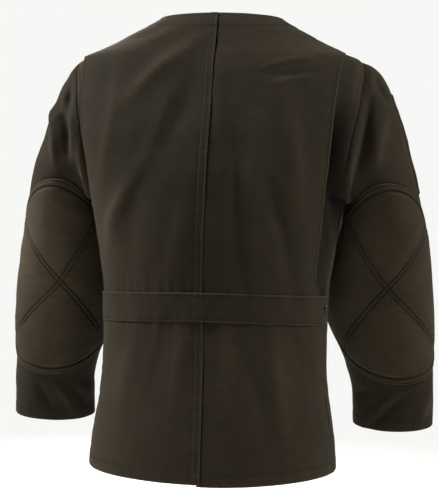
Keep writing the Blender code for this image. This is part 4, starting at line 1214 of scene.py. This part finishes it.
def sew_pad(side, word):
    """A quilted elbow pad: duck over wadding, raised between its sewn rows."""
    edge_rings = 1 - np.arange(14.0, -0.1, -1.0) / PAD_MEAN_RADIUS
    rings = np.concatenate([np.linspace(0.012, 0.9, 78), edge_rings])
    ring, spoke = np.meshgrid(rings, np.linspace(0, 2 * math.pi, 305)[:-1], indexing="ij")
    across, along = ring * PAD_HALF_WIDTH * np.cos(spoke), ring * PAD_HALF_LENGTH * np.sin(spoke)
    point, normal, lift = pad_cloth(side, ring, spoke)
    turn = PAD_CENTRE_ANGLE[side] - across / sleeve_radius(point[..., 2])
    outer = point + normal * lift[..., None]
    inner = point + normal * (sleeve_lift(side, turn, point) + PAD_UNDERSIDE)[..., None]
    worn_and_painted_light = 0.6 * np.exp(-(1 - ring) * PAD_MEAN_RADIUS / 1.8) + 0.05 * np.clip(lift - 5, 0, 4)
    worn_and_painted_light = np.clip(worn_and_painted_light, 0, 1)
    if side == LEFT:        # painted highlight on its outer and upper side, which faces the strongest lamp, and painted shade on its inner side
        worn_and_painted_light = worn_and_painted_light + 0.6 * ease((across + 40) / 60) * ease((along + 70) / 140) \
            - 0.55 * ease((-across - 2) / 45) * ease((90 - along) / 90)
    name, lines = "quilted_pad_" + word, pad_lines(side)
    uv = np.stack([across, along], axis=-1)
    pad = dress(closed_shell(name, outer, inner, uv, worn_and_painted_light, disc=True), pad_duck_painted_paler,
                "elbow_pad_" + word)
    paint_row_shade(pad, lines, PAD_ROW_PAINTED_SHADE)
    dress(stitching(name + "_stitching", lines), thread)


def make_jacket():
    """Cut and sew every piece: body and sleeves on each side, then what lies on them."""
    for side, word in ((LEFT, "left"), (RIGHT, "right")):
        rows = [("top", NECK_TURN), ("foot", HEM_TURN), ("end", EDGE_ROW)]
        if side == LEFT:
            rows += [("start", row) for row in FELL_ROWS]
        sew("back_panel_" + word, "back_" + word, back_cloth(side), rows)

        low = LEFT_GUSSET_ROWS_FOOT if side == LEFT else ROWS_FOOT
        sew("action_gusset_" + word, "gusset_" + word, gusset_cloth(side),
            [("end", row, low, GUSSET_ROWS_TOP) for row in ARMHOLE_ROWS])

        rows = [("start", row, ROWS_FOOT, FRONT_ROWS_TOP) for row in ARMHOLE_ROWS]
        sew("front_panel_" + word, "front_" + word, front_cloth(side),
            rows + [("end", EDGE_ROW), ("foot", HEM_TURN)])

        sew("sleeve_tube_" + word, "sleeve_" + word, sleeve_cloth(side), [("foot", CUFF_TURN)], tube=True)
        sew_pad(side, word)

    sew("belt_band", "waist_belt", belt_cloth(), [("top", BELT_ROW), ("foot", BELT_ROW)])
    sew("neck_band_inside", "neck_facing", facing_cloth(), [("foot", TRIM_ROW)], twill,
        thickness=TWILL_CLOTH)
    sew("upper_arm_patch", "arm_patch_right", patch_cloth(),
        [(edge, TRIM_ROW) for edge in ("top", "foot", "start", "end")], suede)
    for number, height in enumerate(BUTTON_HEIGHTS, start=1):
        sew_button(number, height)
    dress(press_stud(), brass, "belt_stud_right")


# Floor, light and camera
FLOOR_HEIGHT, FLOOR_CLEAR, FLOOR_WIDE = -1.0, 1.2, 2.3    # the floor fades out between these two radii
CAMERA_DISTANCE, CAMERA_HEIGHT = 2.1, -0.371
CAMERA_TURN, CAMERA_ROLL = math.radians(6.0), math.radians(1.17)
PIXEL_MM = 1.64             # at the camera's distance, one pixel of the 439 x 490 picture
SIDE_SHIFT_PIXELS = 2.3
PICTURE_HEIGHT, SENSOR = 490, 24.0


def make_floor():
    """A plain pale round floor that fades into pale surroundings."""
    turns = np.linspace(0, 2 * math.pi, 97)[:-1]
    mesh = bpy.data.meshes.new("floor")
    mesh.from_pydata([(FLOOR_WIDE * math.cos(a), FLOOR_WIDE * math.sin(a), FLOOR_HEIGHT) for a in turns],
                     [], [tuple(range(len(turns)))])
    floor = bpy.data.objects.new("floor", mesh)
    bpy.context.scene.collection.objects.link(floor)
    material, tree, shader = plain_material("floor_paint_matt", "F2F1EE", {"Roughness": 0.9})
    place = add(tree, "ShaderNodeTexCoord").outputs["Object"]
    flat = add(tree, "ShaderNodeVectorMath", {0: place, 1: (1, 1, 0)}, operation="MULTIPLY").outputs[0]
    reach = add(tree, "ShaderNodeVectorMath", {0: flat}, operation="LENGTH").outputs["Value"]
    fade = add(tree, "ShaderNodeMapRange", {"Value": reach, "From Min": FLOOR_CLEAR,
                                            "From Max": FLOOR_WIDE * 0.98},
               interpolation_type="SMOOTHSTEP").outputs[0]
    clear = add(tree, "ShaderNodeBsdfTransparent").outputs[0]
    both = add(tree, "ShaderNodeMixShader", {0: fade, 1: shader.outputs[0], 2: clear}).outputs[0]
    tree.links.new(both, tree.nodes["Material Output"].inputs["Surface"])
    mesh.materials.append(material)


def make_light():
    """Dim warm surroundings that the camera sees as pale, and four wide soft lamps: the strongest on
    the left, a weaker one on the right, a faint one above the camera and one before the front."""
    world = bpy.data.worlds.new("studio")
    bpy.context.scene.world = world
    world.use_nodes = True
    tree = world.node_tree
    seen = add(tree, "ShaderNodeLightPath").outputs["Is Camera Ray"]
    colour = add(tree, "ShaderNodeMix", {"Factor": seen, "A": linear("453A2C"), "B": linear("F7F7F5")},
                 data_type="RGBA").outputs["Result"]
    tree.links.new(colour, tree.nodes["Background"].inputs["Color"])
    Lamp = namedtuple("Lamp", "name x y z size watts")
    lamps = (
        Lamp("left", 2.35, 0.25, 1.4, 0.7, 116),
        Lamp("right", -2.1, 0.5, 1.8, 0.7, 84),
        Lamp("camera", 0.3, 2.4, 1.2, 0.9, 5),
        Lamp("front", 0.8, -2.4, 1.0, 1.2, 70),
    )
    for lamp in lamps:
        light = bpy.data.lights.new(lamp.name, "AREA")
        light.shape, light.size, light.energy = "DISK", lamp.size, lamp.watts
        thing = bpy.data.objects.new(lamp.name, light)
        thing.location = (lamp.x, lamp.y, lamp.z)
        aim = Vector((0, 0, CAMERA_HEIGHT)) - thing.location
        thing.rotation_euler = aim.to_track_quat("-Z", "Y").to_euler()
        bpy.context.scene.collection.objects.link(thing)


def make_camera():
    """The camera behind the jacket, a little to the wearer's right, level and very slightly rolled."""
    camera = bpy.data.cameras.new("camera")
    camera.sensor_fit, camera.sensor_height = "VERTICAL", SENSOR
    camera.lens = SENSOR * CAMERA_DISTANCE * 1000 / PIXEL_MM / PICTURE_HEIGHT
    thing = bpy.data.objects.new("camera", camera)
    bpy.context.scene.collection.objects.link(thing)
    sine, cosine = math.sin(CAMERA_TURN), math.cos(CAMERA_TURN)
    forward, across, up = Vector((sine, -cosine, 0)), Vector((-cosine, -sine, 0)), Vector((0, 0, 1))
    place = Vector((-CAMERA_DISTANCE * sine, CAMERA_DISTANCE * cosine, CAMERA_HEIGHT)) \
        + across * SIDE_SHIFT_PIXELS * PIXEL_MM * MM
    rolled_across = across * math.cos(CAMERA_ROLL) + up * math.sin(CAMERA_ROLL)
    rolled_up = up * math.cos(CAMERA_ROLL) - across * math.sin(CAMERA_ROLL)
    matrix = Matrix((rolled_across, rolled_up, -forward)).transposed().to_4x4()
    matrix.translation = place
    thing.matrix_world = matrix
    bpy.context.scene.camera = thing


make_camera()
make_floor()
make_light()
bpy.context.scene.view_settings.view_transform = "Standard"
make_jacket()
